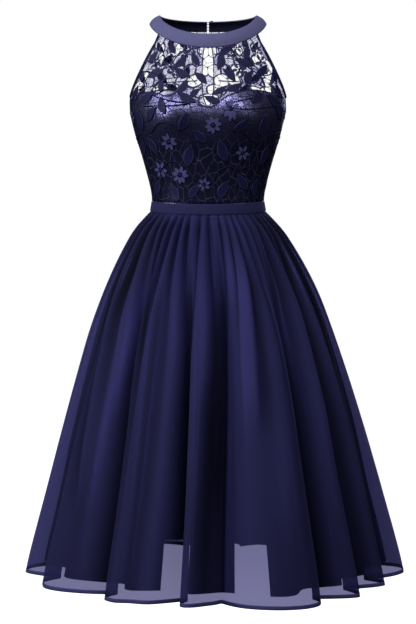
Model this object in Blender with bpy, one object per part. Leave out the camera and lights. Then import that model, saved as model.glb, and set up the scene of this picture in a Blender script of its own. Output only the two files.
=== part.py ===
"""Halter-neck cocktail dress: a cut lace bodice over a sweetheart lining, a plain
waistband, and a gathered chiffon skirt over its own lining, filled out as when worn.

Metres, +Z up. The front faces -Y and +X is the wearer's left. The origin is at the
centre of the neck, level with the middle of the collar at the sides.
Angles go round the body in degrees: 0 front, 90 the wearer's left side, 180 back.
"""
import random
from math import asin, atan2, cos, degrees, exp, floor, pi, radians, sin

import bmesh
import bpy
import numpy as np
from mathutils import Matrix, Vector

# Cloth thicknesses and seams
LACE = 0.0012
LINING = 0.0010
CHIFFON = 0.0014
BAND = 0.0022
COLLAR = 0.0026
SEAM = 0.0003             # space between two pieces where they are sewn together

# Bodice, as horizontal sections: height, half width, depth in front, depth behind
BODICE = (
    (-0.010, 0.1500, 0.0400, 0.0590),
    (-0.038, 0.1500, 0.0600, 0.0740),
    (-0.064, 0.1500, 0.0850, 0.0850),
    (-0.100, 0.1500, 0.0985, 0.0930),
    (-0.130, 0.1500, 0.1060, 0.0950),
    (-0.158, 0.1500, 0.1125, 0.0960),
    (-0.175, 0.1503, 0.1150, 0.0955),
    (-0.200, 0.1450, 0.1160, 0.0940),
    (-0.2315, 0.1370, 0.1095, 0.0925),
    (-0.2625, 0.1274, 0.1015, 0.0890),
    (-0.2934, 0.1187, 0.0955, 0.0855),
    (-0.324, 0.1110, 0.0905, 0.0838),
    (-0.348, 0.1080, 0.0880, 0.0830),
    (-0.370, 0.1108, 0.0893, 0.0843),
    (-0.392, 0.1125, 0.0905, 0.0855),
)
HALF_WIDTH, FRONT, BACK = 1, 2, 3      # columns of the sections

# Cups cut into the front: how far they stand out, and their middle and size
CUP_RISE = 0.015
CUP_X, CUP_Z = 0.071, -0.192
CUP_WIDE, CUP_TALL = 0.043, 0.045

# Collar band: half width, front depth, back depth, height at the side, drop in
# front, drop behind, and how fast the drop sets in
COLLAR_UPPER = (0.0920, 0.078, 0.062, 0.0084, 0.0478, 0.0021, 1.15)
COLLAR_LOWER = (0.1120, 0.086, 0.0745, -0.0077, 0.0580, 0.0038, 1.25)
COLLAR_WIDTH = 0.0265
COLLAR_BULGE = 0.0030     # how far its middle stands out
COLLAR_SLANT = 0.6        # how much the direction of that bulge rises
COLLAR_GAP = 0.0030       # opening at the centre back
COLLAR_ROWS = (1.0, 0.7, 0.3, 0.0)     # shares of its width, near its buttons and loops

# Armholes: how far the edge turns away from the side seam, and over what height
UNDERARM = -0.150
ARMHOLE = {"front": (53.8, 0.120, 0.57), "back": (51.5, 0.130, 0.68)}
ATTACH = {"front": 54.5, "back": 54.2}   # where the binding meets the collar, from the middle
PULL = 0.045              # height over which the lace is drawn over to the collar
BINDING_RADIUS = 0.0017
BINDING_END = 0.0014      # from the collar's edge to the end of a binding
LACE_INSET = BINDING_RADIUS + 0.0005
EDGE_STEPS = 40           # points worked out along the lace's edge
EDGE_REACH = 1.12         # how far past the armhole's height they run
EDGE_NUDGE = 0.0002       # small rise that gives the edge's direction

# Keyhole at the centre back: height, half width to its binding, half width to the lace
KEYHOLE = (
    (-0.0115, 0.0022, 0.0040),
    (-0.0350, 0.0062, 0.0080),
    (-0.0600, 0.0105, 0.0122),
    (-0.1100, 0.0115, 0.0132),
    (-0.1400, 0.0085, 0.0103),
    (-0.1520, 0.0042, 0.0062),
    (-0.1580, 0.0020, 0.0038),
    (-0.1660, 0.0018, 0.0009),
)
KEYHOLE_RADIUS = 0.0012
KEYHOLE_END = -0.158
BACK_HALF_GAP = 0.0008    # between the two backs, over the zip

# Lace: its staggered meshes, and the bars left between its gaps
YOKE_SHARE = 0.44         # share of the lace's height above the underarm
LACE_BAR = 0.09           # half the bar between two gaps, in mesh widths
LACE_UNEVEN = 0.09        # how far a mesh's corners stray, in mesh widths
LACE_ZIGZAG = 0.15        # how far they are staggered up and down
# Charts of the meshes from the collar down: o is a gap, . is closed by a leaf or flower
FRONT_CHART = (
    ".o.o..oo..o.o.",
    "o.oo.o.o.o..oo.",
    "..oo..oo.oo..o",
    ".o..o.o.oo..oo.",
    "oo.oo..o..oo..",
    ".......o.......",
    "..............",
    "...............",
    "..............",
    "...............",
    "..............",
    "...............",
)
BACK_CHART = (
    ".o.o.o",
    "o.oo.o.",
    "..o.oo",
    ".oo..o.",
    "oo..oo",
    "o..oo..",
    "..o.o.",
    ".......",
    "......",
    ".......",
    "......",
)
YOKE_ROWS = 7
ROW_SPREAD = 1.7          # how the rows' ends spread up the armhole
ROW_BEND = 3              # how late a row bends up or down to its end

# Sweetheart edge of the front lining (angle, height), and the back lining's top
SWEETHEART = ((0, -0.178), (8, -0.168), (18, -0.154), (32, -0.1455), (55, -0.148),
              (80, -0.152), (90, -0.155))
BACK_LINING_TOP = ((90, -0.155), (130, -0.160), (180, -0.166))
LINING_OFFSET = -0.0030
LINING_TUCK = 0.0095      # how far the bodice lining runs down behind the waistband
LINING_ROWS = (0.0, 0.20, 0.36, 0.53, 0.71, 0.83, 0.92, 1.0)

# Flat pieces round each band, along each binding, and across the bodice's linings
BAND_PIECES = 44
BINDING_PIECES = 13
BINDING_CROWD = 1.4       # how much closer they get towards the underarm
FRONT_LINING_PIECES, BACK_LINING_PIECES = 18, 8

# Waistband: height of its upper edge at the sides, its dip in front, and its width
WAIST_TOP = -0.3493
WAIST_DIP = 0.0115
WAIST_DIP_ONSET = 1.2     # how fast the dip sets in
WAIST_WIDTH = 0.0208

# Skirt over the tops of its folds: fall below the waistband, half width, front, back
SKIRT = (
    (0.000, 0.1108, 0.0903, 0.0846),
    (0.018, 0.1262, 0.1030, 0.0985),
    (0.047, 0.1490, 0.1240, 0.1200),
    (0.109, 0.1848, 0.1580, 0.1540),
    (0.170, 0.2118, 0.1860, 0.1810),
    (0.294, 0.2538, 0.2320, 0.2260),
    (0.417, 0.2906, 0.2690, 0.2630),
    (0.541, 0.3248, 0.3020, 0.2960),
    (0.6645, 0.3576, 0.3280, 0.3220),
    (0.7185, 0.3670, 0.3350, 0.3300),
)
SKIRT_SWING = 0.014       # how far the hem hangs towards the wearer's left

# Folds of the skirt, one row each, from the wearer's right side round the front:
# angle of the valley before it at the waist and at the hem, depth of that valley,
# height of the hem on its ridge, lean of its ridge, the gathers that run into it, and
# how far it laps over that valley at the waist and at the hem
FOLDS = (
    (-100, -101.0, 0.058, -1.0603, 0.0, 3, 1.0, 1.0),
    (-78, -75.0, 0.058, -1.0706, 0.0, 4, 1.5, 1.5),
    (-42, -39.0, 0.064, -1.0774, -2.5, 4, 2.5, 2.0),
    (-13, -12.0, 0.066, -1.0794, -3.0, 2, 2.5, 2.0),
    (7, 2.0, 0.070, -1.0868, 3.0, 5, 3.0, 0.0),
    (40, 37.5, 0.060, -1.0762, 0.0, 2, -2.5, -2.0),
    (54, 51.0, 0.052, -1.0649, 0.0, 3, -2.0, -2.0),
    (78, 65.0, 0.052, -1.0581, 0.0, 3, -1.5, -1.5),
    (101, 101.0, 0.058, -1.0580, 0.0, 3, -1.0, -1.0),
    (122, 123.0, 0.060, -1.0555, 0.0, 3, 2.0, 2.0),
    (144, 146.0, 0.062, -1.0515, 0.0, 3, 2.0, 2.0),
    (167, 168.0, 0.060, -1.0500, 0.0, 3, 1.5, 1.5),
    (193, 192.0, 0.062, -1.0505, 0.0, 3, -1.5, -1.5),
    (216, 214.0, 0.060, -1.0525, 0.0, 3, -2.0, -2.0),
    (238, 237.0, 0.058, -1.0560, 0.0, 3, -2.0, -2.0),
)
AT_WAIST, AT_HEM, DEPTH, HEM, LEAN, GATHERS, LAP_WAIST, LAP_HEM = range(8)
LEFT_SEAM, BACK_SEAM = 7, 11           # the seams run down the ridges of these folds
FOLD_ONSET = 1.7          # how soon the folds deepen below the waist
SHARPEST = 0.7            # how far wide folds crowd into their valleys
WIDE_FOLD = 9.0           # degrees of half width at which they crowd that far
CROWDED_BY = 0.4          # level by which they do
LAP_POWER = 1.5           # how close to its valley a fold laps over it
LAPPED_BY = 0.35          # level by which it does
GATHER_TOP, GATHER_FULL = 0.0012, 0.0040   # gathers at the waistband, and just below
GATHER_GROWN, GATHER_FADE = 0.06, 0.22     # level where they are full, and how far they run
PER_GATHER = 4            # flat pieces across a gather
SKIRT_LEVELS = (0.0, 0.035, 0.10, 0.22, 0.45, 0.72, 1.0)   # shares of the way down

# Skirt lining: how far it hangs inside the chiffon, and its shorter hem
LINING_AT_RIDGE, LINING_AT_VALLEY = 0.018, 0.009
LINING_FLARE = 0.010      # how much further from the ridges it hangs at the hem
LINING_ONSET = 0.12       # how soon it hangs free of the chiffon
PER_LINING_FOLD = 4       # flat pieces across a fold of the lining
TUCK = -0.0162            # level of its upper edge, behind the waistband
FRONT_LINING_LEVELS = (TUCK, 0.0, 0.035, 0.10, 0.22, 0.45, 0.848, 0.975)
BACK_LINING_LEVELS = (TUCK, 0.0, 0.035, 0.10, 0.22, 0.24, 0.45, 0.72, 0.975)
STEP_LEVEL = 0.848        # level of the hem where it steps up
HEM_STEPS = ((2.25, 2.5), (3.62, 3.9))   # stretches where the front lining's hem steps up

# Zip at the centre back
TAPE_HALF, TAPE_THICK = 0.0062, 0.0010
TAPE_TOP = -0.168
TAPE_LEVELS = (0.035, 0.10, 0.22)      # levels of the skirt that it runs down to
ZIP_CLEAR = 0.0065        # half width left open by the linings
TAPE_ROWS = 8             # flat pieces up the bodice
SLIDER = (0.0050, 0.0022, 0.0090)      # width, depth and height of the slider's body
SLIDER_BEVEL = 0.0005
SLIDER_Z = -0.1705
PIN_RADIUS = 0.0005
PIN_OUT = 0.0016          # from the slider's face to the pin
PIN_UP = 0.0022           # from the slider's middle up to the pin
LUG = (0.0008, 0.0020)    # width and height of the slider's lugs
LUG_X = 0.0018            # middle of a lug from the centre
LUG_WRAP = 0.0012         # from the pin to the end of a lug
SUNK = 0.0002             # how far a joined part starts inside the other one
EYE_RADIUS, EYE_BORE, EYE_WIDTH = 0.0013, 0.0008, 0.0022
TAB_LENGTH, TAB_WIDTH, TAB_THICK = 0.0210, 0.0040, 0.0010
NECK_LENGTH, NECK_Z = 0.0030, -0.0022  # the narrow part between the eye and the plate
TAB_BEVEL = 0.0003

# Buttons and loops on the collar's back
BUTTON_X = 0.0068
BUTTON_PLACES = (("button_upper", "loop_upper", 0.75), ("button_lower", "loop_lower", 0.26))
BUTTON_PROFILE = ((0.0016, 0.0), (0.0016, 0.0021), (0.0043, 0.0023), (0.0045, 0.0031),
                  (0.0034, 0.0042))    # radius, height
BUTTON_CROWN = 0.0046
LOOP_RADIUS, LOOP_TURN = 0.0006, 0.0026
LOOP_REACH = 0.0045       # how far the loop is sewn onto the other end of the collar

# Finishes: colour, roughness
FINISHES = {
    "collar_chiffon": ((0.105, 0.105, 0.240), 0.75),
    "band_chiffon": ((0.016, 0.016, 0.062), 0.75),
    "lace_thread": ((0.012, 0.012, 0.050), 0.70),
    "satin_lining": ((0.030, 0.030, 0.080), 0.42),
    "skirt_chiffon": ((0.014, 0.014, 0.055), 0.80),
    "covered_button": ((0.016, 0.016, 0.062), 0.60),
    "zip_metal": ((0.020, 0.020, 0.060), 0.45),
}

for old in list(bpy.data.objects):
    bpy.data.objects.remove(old, do_unlink=True)


# ---------------------------------------------------------------- small helpers

def finish(name):
    """The Principled material of a finish, made once."""
    if name not in bpy.data.materials:
        colour, roughness = FINISHES[name]
        material = bpy.data.materials.new(name)
        material.use_nodes = True
        shader = material.node_tree.nodes["Principled BSDF"]
        shader.inputs["Base Color"].default_value = (*colour, 1.0)
        shader.inputs["Roughness"].default_value = roughness
        shader.inputs["Metallic"].default_value = 0.0
    return bpy.data.materials[name]


def add_object(name, data, look):
    """A named object with its own material."""
    thing = bpy.data.objects.new(name, data)
    data.materials.append(finish(look))
    bpy.context.scene.collection.objects.link(thing)
    return thing


def add_mesh(name, mesh, look):
    """An object from a finished bmesh, shaded smooth."""
    data = bpy.data.meshes.new(name)
    mesh.to_mesh(data)
    mesh.free()
    data.shade_smooth()
    data.set_sharp_from_angle(angle=radians(40))
    return add_object(name, data, look)


def mix(start, end, share):
    """From start to end by a share."""
    return start + (end - start) * share


def smooth(share):
    """A share from 0 to 1 that starts and ends softly."""
    share = min(max(share, 0.0), 1.0)
    return share * share * (3.0 - 2.0 * share)


def read(table, column, place):
    """A column's value on a smooth curve through the table's rows, placed by column 0."""
    rows = sorted(table)
    place = min(max(place, rows[0][0]), rows[-1][0])
    low = max(k for k in range(len(rows) - 1) if rows[k][0] <= place)

    def slope(k):
        before, after = rows[max(k - 1, 0)], rows[min(k + 1, len(rows) - 1)]
        return (after[column] - before[column]) / (after[0] - before[0])

    span = rows[low + 1][0] - rows[low][0]
    share = (place - rows[low][0]) / span
    rest = 1.0 - share
    return (rows[low][column] * (1.0 + 2.0 * share) * rest ** 2
            + rows[low + 1][column] * (1.0 + 2.0 * rest) * share ** 2
            + slope(low) * span * share * rest ** 2
            - slope(low + 1) * span * share ** 2 * rest)


def outside(surface, across, up, distance, steps=(0.5, 0.001)):
    """The point at a distance outside a surface, along its normal. The steps are small
    ones in the surface's two directions, first across and then up."""
    step, rise = steps
    along = surface(across + step, up) - surface(across - step, up)
    upwards = surface(across, up + rise) - surface(across, up - rise)
    return surface(across, up) + distance * along.cross(upwards).normalized()


def thicken(mesh, place, thickness):
    """Turn a flat grid into a cloth wall. A corner's x and y are its column and row, and
    place(column, row, offset) is the point that far outside the cloth's middle."""
    grown = bmesh.ops.extrude_face_region(mesh, geom=mesh.faces[:], use_keep_orig=True)
    inner = {part for part in grown["geom"] if isinstance(part, bmesh.types.BMVert)}
    for corner in mesh.verts:
        offset = -thickness / 2 if corner in inner else thickness / 2
        corner.co = place(corner.co.x, corner.co.y, offset)
    bmesh.ops.recalc_face_normals(mesh, faces=mesh.faces)


def panel(name, place, columns, rows, thickness, look, leave_out=None):
    """A cloth panel, with a corner at each of its columns and rows."""
    mesh = bmesh.new()
    across, down = len(columns) - 1, len(rows) - 1
    bmesh.ops.create_grid(mesh, x_segments=across, y_segments=down, size=1.0)
    for corner in mesh.verts:
        column = columns[round((corner.co.x + 1) / 2 * across)]
        row = rows[round((1 - corner.co.y) / 2 * down)]
        corner.co = (column, row, 0.0)
    if leave_out:
        left_out = [face for face in mesh.faces if leave_out(face.calc_center_median())]
        bmesh.ops.delete(mesh, geom=left_out, context="FACES")
    thicken(mesh, place, thickness)
    add_mesh(name, mesh, look)


def tube(name, points, radius, look, resolution=1):
    """A round cord or binding along a list of points."""
    curve = bpy.data.curves.new(name, "CURVE")
    curve.dimensions = "3D"
    curve.bevel_depth = radius
    curve.bevel_resolution = resolution
    curve.use_fill_caps = True
    run = curve.splines.new("POLY")
    run.points.add(len(points) - 1)
    for spot, point in zip(run.points, points):
        spot.co = (*point, 1.0)
    run.use_smooth = True
    return add_object(name, curve, look)


def even(start, end, pieces):
    """Evenly spaced values from start to end."""
    return [mix(start, end, k / pieces) for k in range(pieces + 1)]


# ---------------------------------------------------------------- the body's form

def body(angle, z):
    """Middle of the bodice's cloth on the general figure that it is cut for."""
    turn = radians(angle)
    x = read(BODICE, HALF_WIDTH, z) * sin(turn)
    if cos(turn) < 0.0:
        return Vector((x, -read(BODICE, BACK, z) * cos(turn), z))
    cup = exp(-((abs(x) - CUP_X) / CUP_WIDE) ** 2) * exp(-((z - CUP_Z) / CUP_TALL) ** 2)
    depth = read(BODICE, FRONT, z) + CUP_RISE * cup
    return Vector((x, -depth * cos(turn), z))


def collar(angle, share):
    """Middle of the collar band: share 0 on its lower edge, 1 on its upper edge."""
    turn = radians(angle)
    edges = []
    for half_width, front, back, side_z, front_drop, back_drop, onset in (COLLAR_LOWER,
                                                                        COLLAR_UPPER):
        ahead = cos(turn) >= 0.0
        drop = (front_drop if ahead else back_drop) * abs(cos(turn)) ** onset
        depth = front if ahead else back
        edges.append(Vector((half_width * sin(turn), -depth * cos(turn), side_z - drop)))
    lower, upper = edges
    bulge = COLLAR_BULGE * max(0.0, 4.0 * share * (1.0 - share))
    out = Vector((sin(turn), -cos(turn), COLLAR_SLANT)).normalized()
    return lower.lerp(upper, share) + bulge * out


def on_collar(angle, share, offset):
    """A point that far outside the collar's middle."""
    return outside(collar, angle, share, offset, steps=(0.5, 0.02))


def sewn_under_collar(angle):
    """Where cloth that is sewn to the collar's lower edge ends."""
    return collar(angle, -2 * SEAM / COLLAR_WIDTH)


def armhole_angle(side, z):
    """Angle of the armhole's edge at a height; 90 below the underarm."""
    turn, rise, power = ARMHOLE[side]
    away = turn * (max(z - UNDERARM, 0.0) / rise) ** power
    return 90.0 - away if side == "front" else 90.0 + away


def lace(angle, z):
    """Middle of the lace: the body's form, drawn over to the collar near the neck."""
    if angle < 0.0:
        mirrored = lace(-angle, z)
        return Vector((-mirrored.x, mirrored.y, mirrored.z))
    side = "front" if angle <= 90.0 else "back"
    middle = 0.0 if side == "front" else 180.0
    share = (angle - middle) / (armhole_angle(side, z) - middle)
    sewn = sewn_under_collar(middle + (share if side == "front" else -share) * ATTACH[side])
    weight = smooth(1.0 - (sewn.z - z) / PULL)
    if weight == 0.0:
        return body(angle, z)
    at_top = body(mix(middle, armhole_angle(side, sewn.z), share), sewn.z)
    return body(angle, z) + weight * (sewn - at_top)


def inset_edge(side):
    """The lace's edge beside the armhole's binding, as heights and angles."""
    heights, angles = [], []
    towards = 1 if side == "front" else -1
    for step in even(0.0, 1.0, EDGE_STEPS):
        z = UNDERARM + ARMHOLE[side][1] * EDGE_REACH * step ** 2
        near = z + EDGE_NUDGE
        point = body(armhole_angle(side, z), z)
        along = body(armhole_angle(side, near), near) - point
        normal = outside(body, armhole_angle(side, z), z, 1.0) - point
        inset = point + normal.cross(along).normalized() * LACE_INSET * towards
        heights.append(inset.z)
        depth = read(BODICE, FRONT if side == "front" else BACK, inset.z)
        angles.append(degrees(atan2(inset.x / read(BODICE, HALF_WIDTH, inset.z),
                                    -inset.y / depth)))
    return heights, angles


LACE_EDGE = {side: inset_edge(side) for side in ARMHOLE}


def lace_edge_angle(side, z):
    """Angle of the lace's edge: beside the armhole's binding, or on the side seam."""
    heights, angles = LACE_EDGE[side]
    seam = degrees(SEAM / read(BODICE, FRONT, z))
    limit = 90.0 - seam if side == "front" else 90.0 + seam
    if z <= heights[0]:
        return limit
    angle = float(np.interp(z, heights, angles))
    return min(angle, limit) if side == "front" else max(angle, limit)


def waist_top(angle):
    """Height of the waistband's upper edge."""
    return WAIST_TOP - WAIST_DIP * max(0.0, cos(radians(angle))) ** WAIST_DIP_ONSET


def lace_height(down, top, bottom, edge_top, to_edge):
    """Height of a mesh corner: down runs from the collar to the waist, and near the
    armhole the rows bend so that one of them ends at the underarm."""
    straight = mix(top, bottom, down)
    if down < YOKE_SHARE:
        height = edge_top - (UNDERARM - LACE_INSET)
        share_up = (1.0 - down / YOKE_SHARE) ** ROW_SPREAD
        at_edge = UNDERARM - LACE_INSET + height * share_up
    else:
        at_edge = mix(UNDERARM - LACE_INSET, WAIST_TOP + SEAM,
                      (down - YOKE_SHARE) / (1.0 - YOKE_SHARE))
    straight_edge = mix(edge_top, WAIST_TOP + SEAM, down)
    return straight + (at_edge - straight_edge) * to_edge ** ROW_BEND


def collar_height(side, share):
    """Height of the lace's top at a share of the way from its middle to its edge."""
    middle, towards = (0.0, 1) if side == "front" else (180.0, -1)
    z = sewn_under_collar(middle + towards * ATTACH[side]).z
    reach = (lace_edge_angle(side, z) - middle) / (armhole_angle(side, z) - middle)
    return sewn_under_collar(middle + towards * ATTACH[side] * reach * share).z


def front_lace(across, down, offset):
    """Front lace: across from -1 to 1 between the armholes."""
    share = abs(across)
    z = lace_height(down, collar_height("front", share), waist_top(90.0 * share) + SEAM,
                    collar_height("front", 1.0), share)
    return outside(lace, across * lace_edge_angle("front", z), z, offset)


def back_lace(across, down, offset):
    """The wearer's left back lace: across from 0 at the centre back to 1."""
    z = lace_height(down, collar_height("back", across), WAIST_TOP + SEAM,
                    collar_height("back", 1.0), across)
    half_gap = max(BACK_HALF_GAP, read(KEYHOLE, 2, z))
    start = 180.0 - degrees(asin(half_gap / read(BODICE, HALF_WIDTH, z)))
    return outside(lace, mix(start, lace_edge_angle("back", z), across), z, offset)


# ---------------------------------------------------------------- the pieces

def make_collar():
    """The halter band, open at the centre back."""
    start = 180.0 - degrees(asin(COLLAR_GAP / 2 / COLLAR_UPPER[0]))
    panel("collar", on_collar, even(-start, start, BAND_PIECES), COLLAR_ROWS, COLLAR,
          "collar_chiffon")


def make_lace(name, place, chart, first, seed):
    """A lace panel: staggered meshes, with the chart's gaps cut through. It is drawn flat
    first, one unit to a mesh, with x across from the first edge and y down the rows."""
    mesh = bmesh.new()
    rows = len(chart)
    meshes = min(len(row) for row in chart)
    bmesh.ops.create_grid(mesh, x_segments=2 * meshes, y_segments=rows, size=0.5)
    for corner in mesh.verts:
        corner.co = ((corner.co.x + 0.5) * meshes, (0.5 - corner.co.y) * rows, 0.0)
    places = {corner: (round(2 * corner.co.x), round(corner.co.y)) for corner in mesh.verts}
    dissolved = []
    for edge in mesh.edges:
        (column, row), (other, below) = (places[corner] for corner in edge.verts)
        upright = column == other and 0 < column < 2 * meshes
        if upright and (column + min(row, below)) % 2:
            dissolved.append(edge)
    bmesh.ops.dissolve_edges(mesh, edges=dissolved, use_verts=False)
    gaps = []
    for row in range(rows):
        in_row = [face for face in mesh.faces if floor(face.calc_center_median().y) == row]
        in_row.sort(key=lambda face: face.calc_center_median().x)
        gaps += [face for face, mark in zip(in_row, chart[row]) if mark == "o"]
    sides = [edge for edge in mesh.edges
             if places[edge.verts[0]][0] == places[edge.verts[1]][0] in (0, 2 * meshes)]
    draw = random.Random(seed)
    for corner, (column, row) in places.items():
        if 0 < column < 2 * meshes and 0 < row < rows:
            zigzag = LACE_ZIGZAG if (column + row) % 2 else -LACE_ZIGZAG
            corner.co.x += draw.uniform(-LACE_UNEVEN, LACE_UNEVEN)
            corner.co.y += draw.uniform(-LACE_UNEVEN, LACE_UNEVEN) - zigzag
    bmesh.ops.subdivide_edges(mesh, edges=sides, cuts=2)
    bmesh.ops.inset_individual(mesh, faces=gaps, thickness=LACE_BAR, use_even_offset=True)
    bmesh.ops.delete(mesh, geom=gaps, context="FACES")
    bmesh.ops.triangulate(mesh, faces=mesh.faces)
    for corner in mesh.verts:
        row = corner.co.y
        if row < YOKE_ROWS:
            down = YOKE_SHARE * row / YOKE_ROWS
        else:
            down = mix(YOKE_SHARE, 1.0, (row - YOKE_ROWS) / (rows - YOKE_ROWS))
        corner.co = (mix(first, 1.0, corner.co.x / meshes), down, 0.0)
    thicken(mesh, place, LACE)
    add_mesh(name, mesh, "lace_thread")


def mirrored(place):
    """The same piece on the wearer's right."""
    def other_side(column, row, offset):
        point = place(column, row, offset)
        return Vector((-point.x, point.y, point.z))
    return other_side


def make_bindings():
    """Narrow bindings round the armholes and down both sides of the keyhole."""
    armhole = []
    for side, middle, towards in (("front", 0.0, 1), ("back", 180.0, -1)):
        top = sewn_under_collar(middle + towards * ATTACH[side]).z - BINDING_END
        steps = even(0.0, 1.0, BINDING_PIECES)
        heights = [mix(UNDERARM, top, step ** BINDING_CROWD) for step in steps]
        run = [lace(armhole_angle(side, z), z) for z in heights]
        armhole = run[:0:-1] if side == "front" else armhole + run
    keyhole = []
    top = sewn_under_collar(180.0).z - BINDING_END
    for z in even(top, KEYHOLE_END, BINDING_PIECES):
        half_gap = read(KEYHOLE, 1, z)
        keyhole.append(lace(180.0 - degrees(asin(half_gap / read(BODICE, HALF_WIDTH, z))), z))
    for side, sign in (("left", 1.0), ("right", -1.0)):
        mirror = Matrix.Diagonal((sign, 1.0, 1.0))
        tube("armhole_binding_" + side, [mirror @ point for point in armhole],
             BINDING_RADIUS, "band_chiffon")
        tube("keyhole_binding_" + side, [mirror @ point for point in keyhole],
             KEYHOLE_RADIUS, "band_chiffon")


def make_bodice_lining():
    """Satin lining, with its sweetheart edge in front and two halves behind."""
    def front(angle, down, offset):
        z = mix(read(SWEETHEART, 1, abs(angle)), waist_top(angle) - LINING_TUCK, down)
        return outside(body, angle, z, LINING_OFFSET + offset)

    def back(angle, down, offset):
        z = mix(read(BACK_LINING_TOP, 1, angle), WAIST_TOP - LINING_TUCK, down)
        return outside(body, angle, z, LINING_OFFSET + offset)

    seam = degrees(SEAM / 2 / read(BODICE, FRONT, UNDERARM))
    zip_edge = 180.0 - degrees(asin(ZIP_CLEAR / read(BODICE, HALF_WIDTH, WAIST_TOP)))
    front_angles = even(-90.0 + seam, 90.0 - seam, FRONT_LINING_PIECES)
    back_angles = even(90.0 + seam, zip_edge, BACK_LINING_PIECES)
    panel("bodice_lining_front", front, front_angles, LINING_ROWS, LINING, "satin_lining")
    for side, place in (("left", back), ("right", mirrored(back))):
        panel("bodice_lining_back_" + side, place, back_angles, LINING_ROWS, LINING,
              "satin_lining")


def make_waistband():
    """Plain band round the waist, dipping in front, open over the zip."""
    def band(angle, down, offset):
        z = waist_top(angle) - SEAM - down * (WAIST_WIDTH - 2 * SEAM)
        return outside(body, angle, z, offset)

    start = 180.0 - degrees(asin(BACK_HALF_GAP / read(BODICE, HALF_WIDTH, WAIST_TOP)))
    panel("waistband", band, even(-start, start, BAND_PIECES), (0, 1), BAND,
          "band_chiffon")


def fold_place(place):
    """The fold that a place belongs to, and its position from -1 to 1 across it.
    Whole places are ridges, and halves are the valleys between them."""
    fold = floor(place + 0.5)
    return fold, 2.0 * (place - fold)


def fold_rows(fold):
    """A fold's row and the next one's, with their angles unwound past the back."""
    rows = []
    for k in (fold, fold + 1):
        turns, row = divmod(k, len(FOLDS))
        waist, hem, *rest = FOLDS[row]
        rows.append((waist + 360 * turns, hem + 360 * turns, *rest))
    return rows


def fold_angle(place, down, crowding=SHARPEST):
    """Angle round the body of a place at a share of the way down the skirt. Folds crowd
    into their valleys, and lap over them."""
    fold, across = fold_place(place)
    row, following = fold_rows(fold)
    start = mix(row[AT_WAIST], row[AT_HEM], smooth(down))
    end = mix(following[AT_WAIST], following[AT_HEM], smooth(down))
    half = (end - start) / 2
    crowd = crowding * min(1.0, half / WIDE_FOLD) * smooth(down / CROWDED_BY)
    lean = row[LEAN] * max(0.0, down) * cos(pi * across / 2) ** 2
    beside = row if across < 0 else following
    lap = mix(beside[LAP_WAIST], beside[LAP_HEM], down) * smooth(down / LAPPED_BY)
    return (start + half * (1.0 + across + crowd * sin(pi * across) / pi) + lean
            + lap * valley_weight(place) ** LAP_POWER)


def valley_weight(place):
    """0 on a ridge and 1 in a valley."""
    return 0.5 - 0.5 * cos(pi * fold_place(place)[1])


def fold_depth(place, down):
    """How far a place lies inside the tops of the folds."""
    fold, across = fold_place(place)
    row, following = fold_rows(fold)
    valley = row[DEPTH] if across < 0 else following[DEPTH]
    onset = 1.0 - (1.0 - min(max(down, 0.0), 1.0)) ** FOLD_ONSET
    return valley * onset * valley_weight(place)


def hem_height(place):
    """Height of the chiffon's hem, evened out between one fold and the next."""
    fold, across = fold_place(place)
    own = FOLDS[fold % len(FOLDS)][HEM]
    beside = FOLDS[(fold + (1 if across > 0 else -1)) % len(FOLDS)][HEM]
    return mix(own, (own + beside) / 2, valley_weight(place))


def skirt_height(place, angle, down):
    """Height of a level of the skirt."""
    return mix(waist_top(angle) - WAIST_WIDTH - SEAM, hem_height(place), down)


def skirt_point(angle, z, inward, down):
    """A point of the skirt at an angle and height, moved in from the folds' tops."""
    turn = radians(angle)
    fall = waist_top(angle) - WAIST_WIDTH - z
    depth = read(SKIRT, FRONT if cos(turn) > 0 else BACK, fall)
    flat = Vector((read(SKIRT, HALF_WIDTH, fall) * sin(turn), -depth * cos(turn)))
    flat *= 1.0 - inward / flat.length
    swing = SKIRT_SWING * (1.0 - (1.0 - max(0.0, down)) ** 2)
    return Vector((flat.x + swing, flat.y, z))


def gather_wave(place, down):
    """The small gathers under the waistband, which die out on the way down."""
    fold, across = fold_place(place)
    gathers = FOLDS[fold % len(FOLDS)][GATHERS]
    grown = mix(GATHER_TOP, GATHER_FULL, min(1.0, max(0.0, down) / GATHER_GROWN))
    size = grown * exp(-max(0.0, down - GATHER_GROWN) / GATHER_FADE)
    return size * cos(pi * gathers * (across + 1.0))


def chiffon(place, down):
    """The outer skirt."""
    angle = fold_angle(place, down)
    inward = fold_depth(place, down) - gather_wave(place, down)
    return skirt_point(angle, skirt_height(place, angle, down), inward, down)


def skirt_lining(place, down):
    """The skirt's lining, which follows the folds more loosely. Above level 0 it runs up
    behind the waistband to join the bodice's lining."""
    angle = fold_angle(place, down, crowding=0.0)
    if down < 0.0:
        top = waist_top(angle) - LINING_TUCK - SEAM
        bottom = skirt_height(place, angle, 0.0)
        return outside(body, angle, mix(bottom, top, down / TUCK), LINING_OFFSET)
    valley = valley_weight(place)
    room = mix(LINING_AT_RIDGE + LINING_FLARE * down, LINING_AT_VALLEY, valley)
    free = 1.0 - exp(-down / LINING_ONSET)
    inward = fold_depth(place, down) - LINING_OFFSET + room * free
    return skirt_point(angle, skirt_height(place, angle, down), inward, down)


def zip_opening(down):
    """Half width left open at the centre back by the skirt's lining, down to its tape."""
    closed = smooth((down - TAPE_LEVELS[-1]) / (BACK_LINING_LEVELS[5] - TAPE_LEVELS[-1]))
    return mix(ZIP_CLEAR, SEAM / 2, closed)


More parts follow.
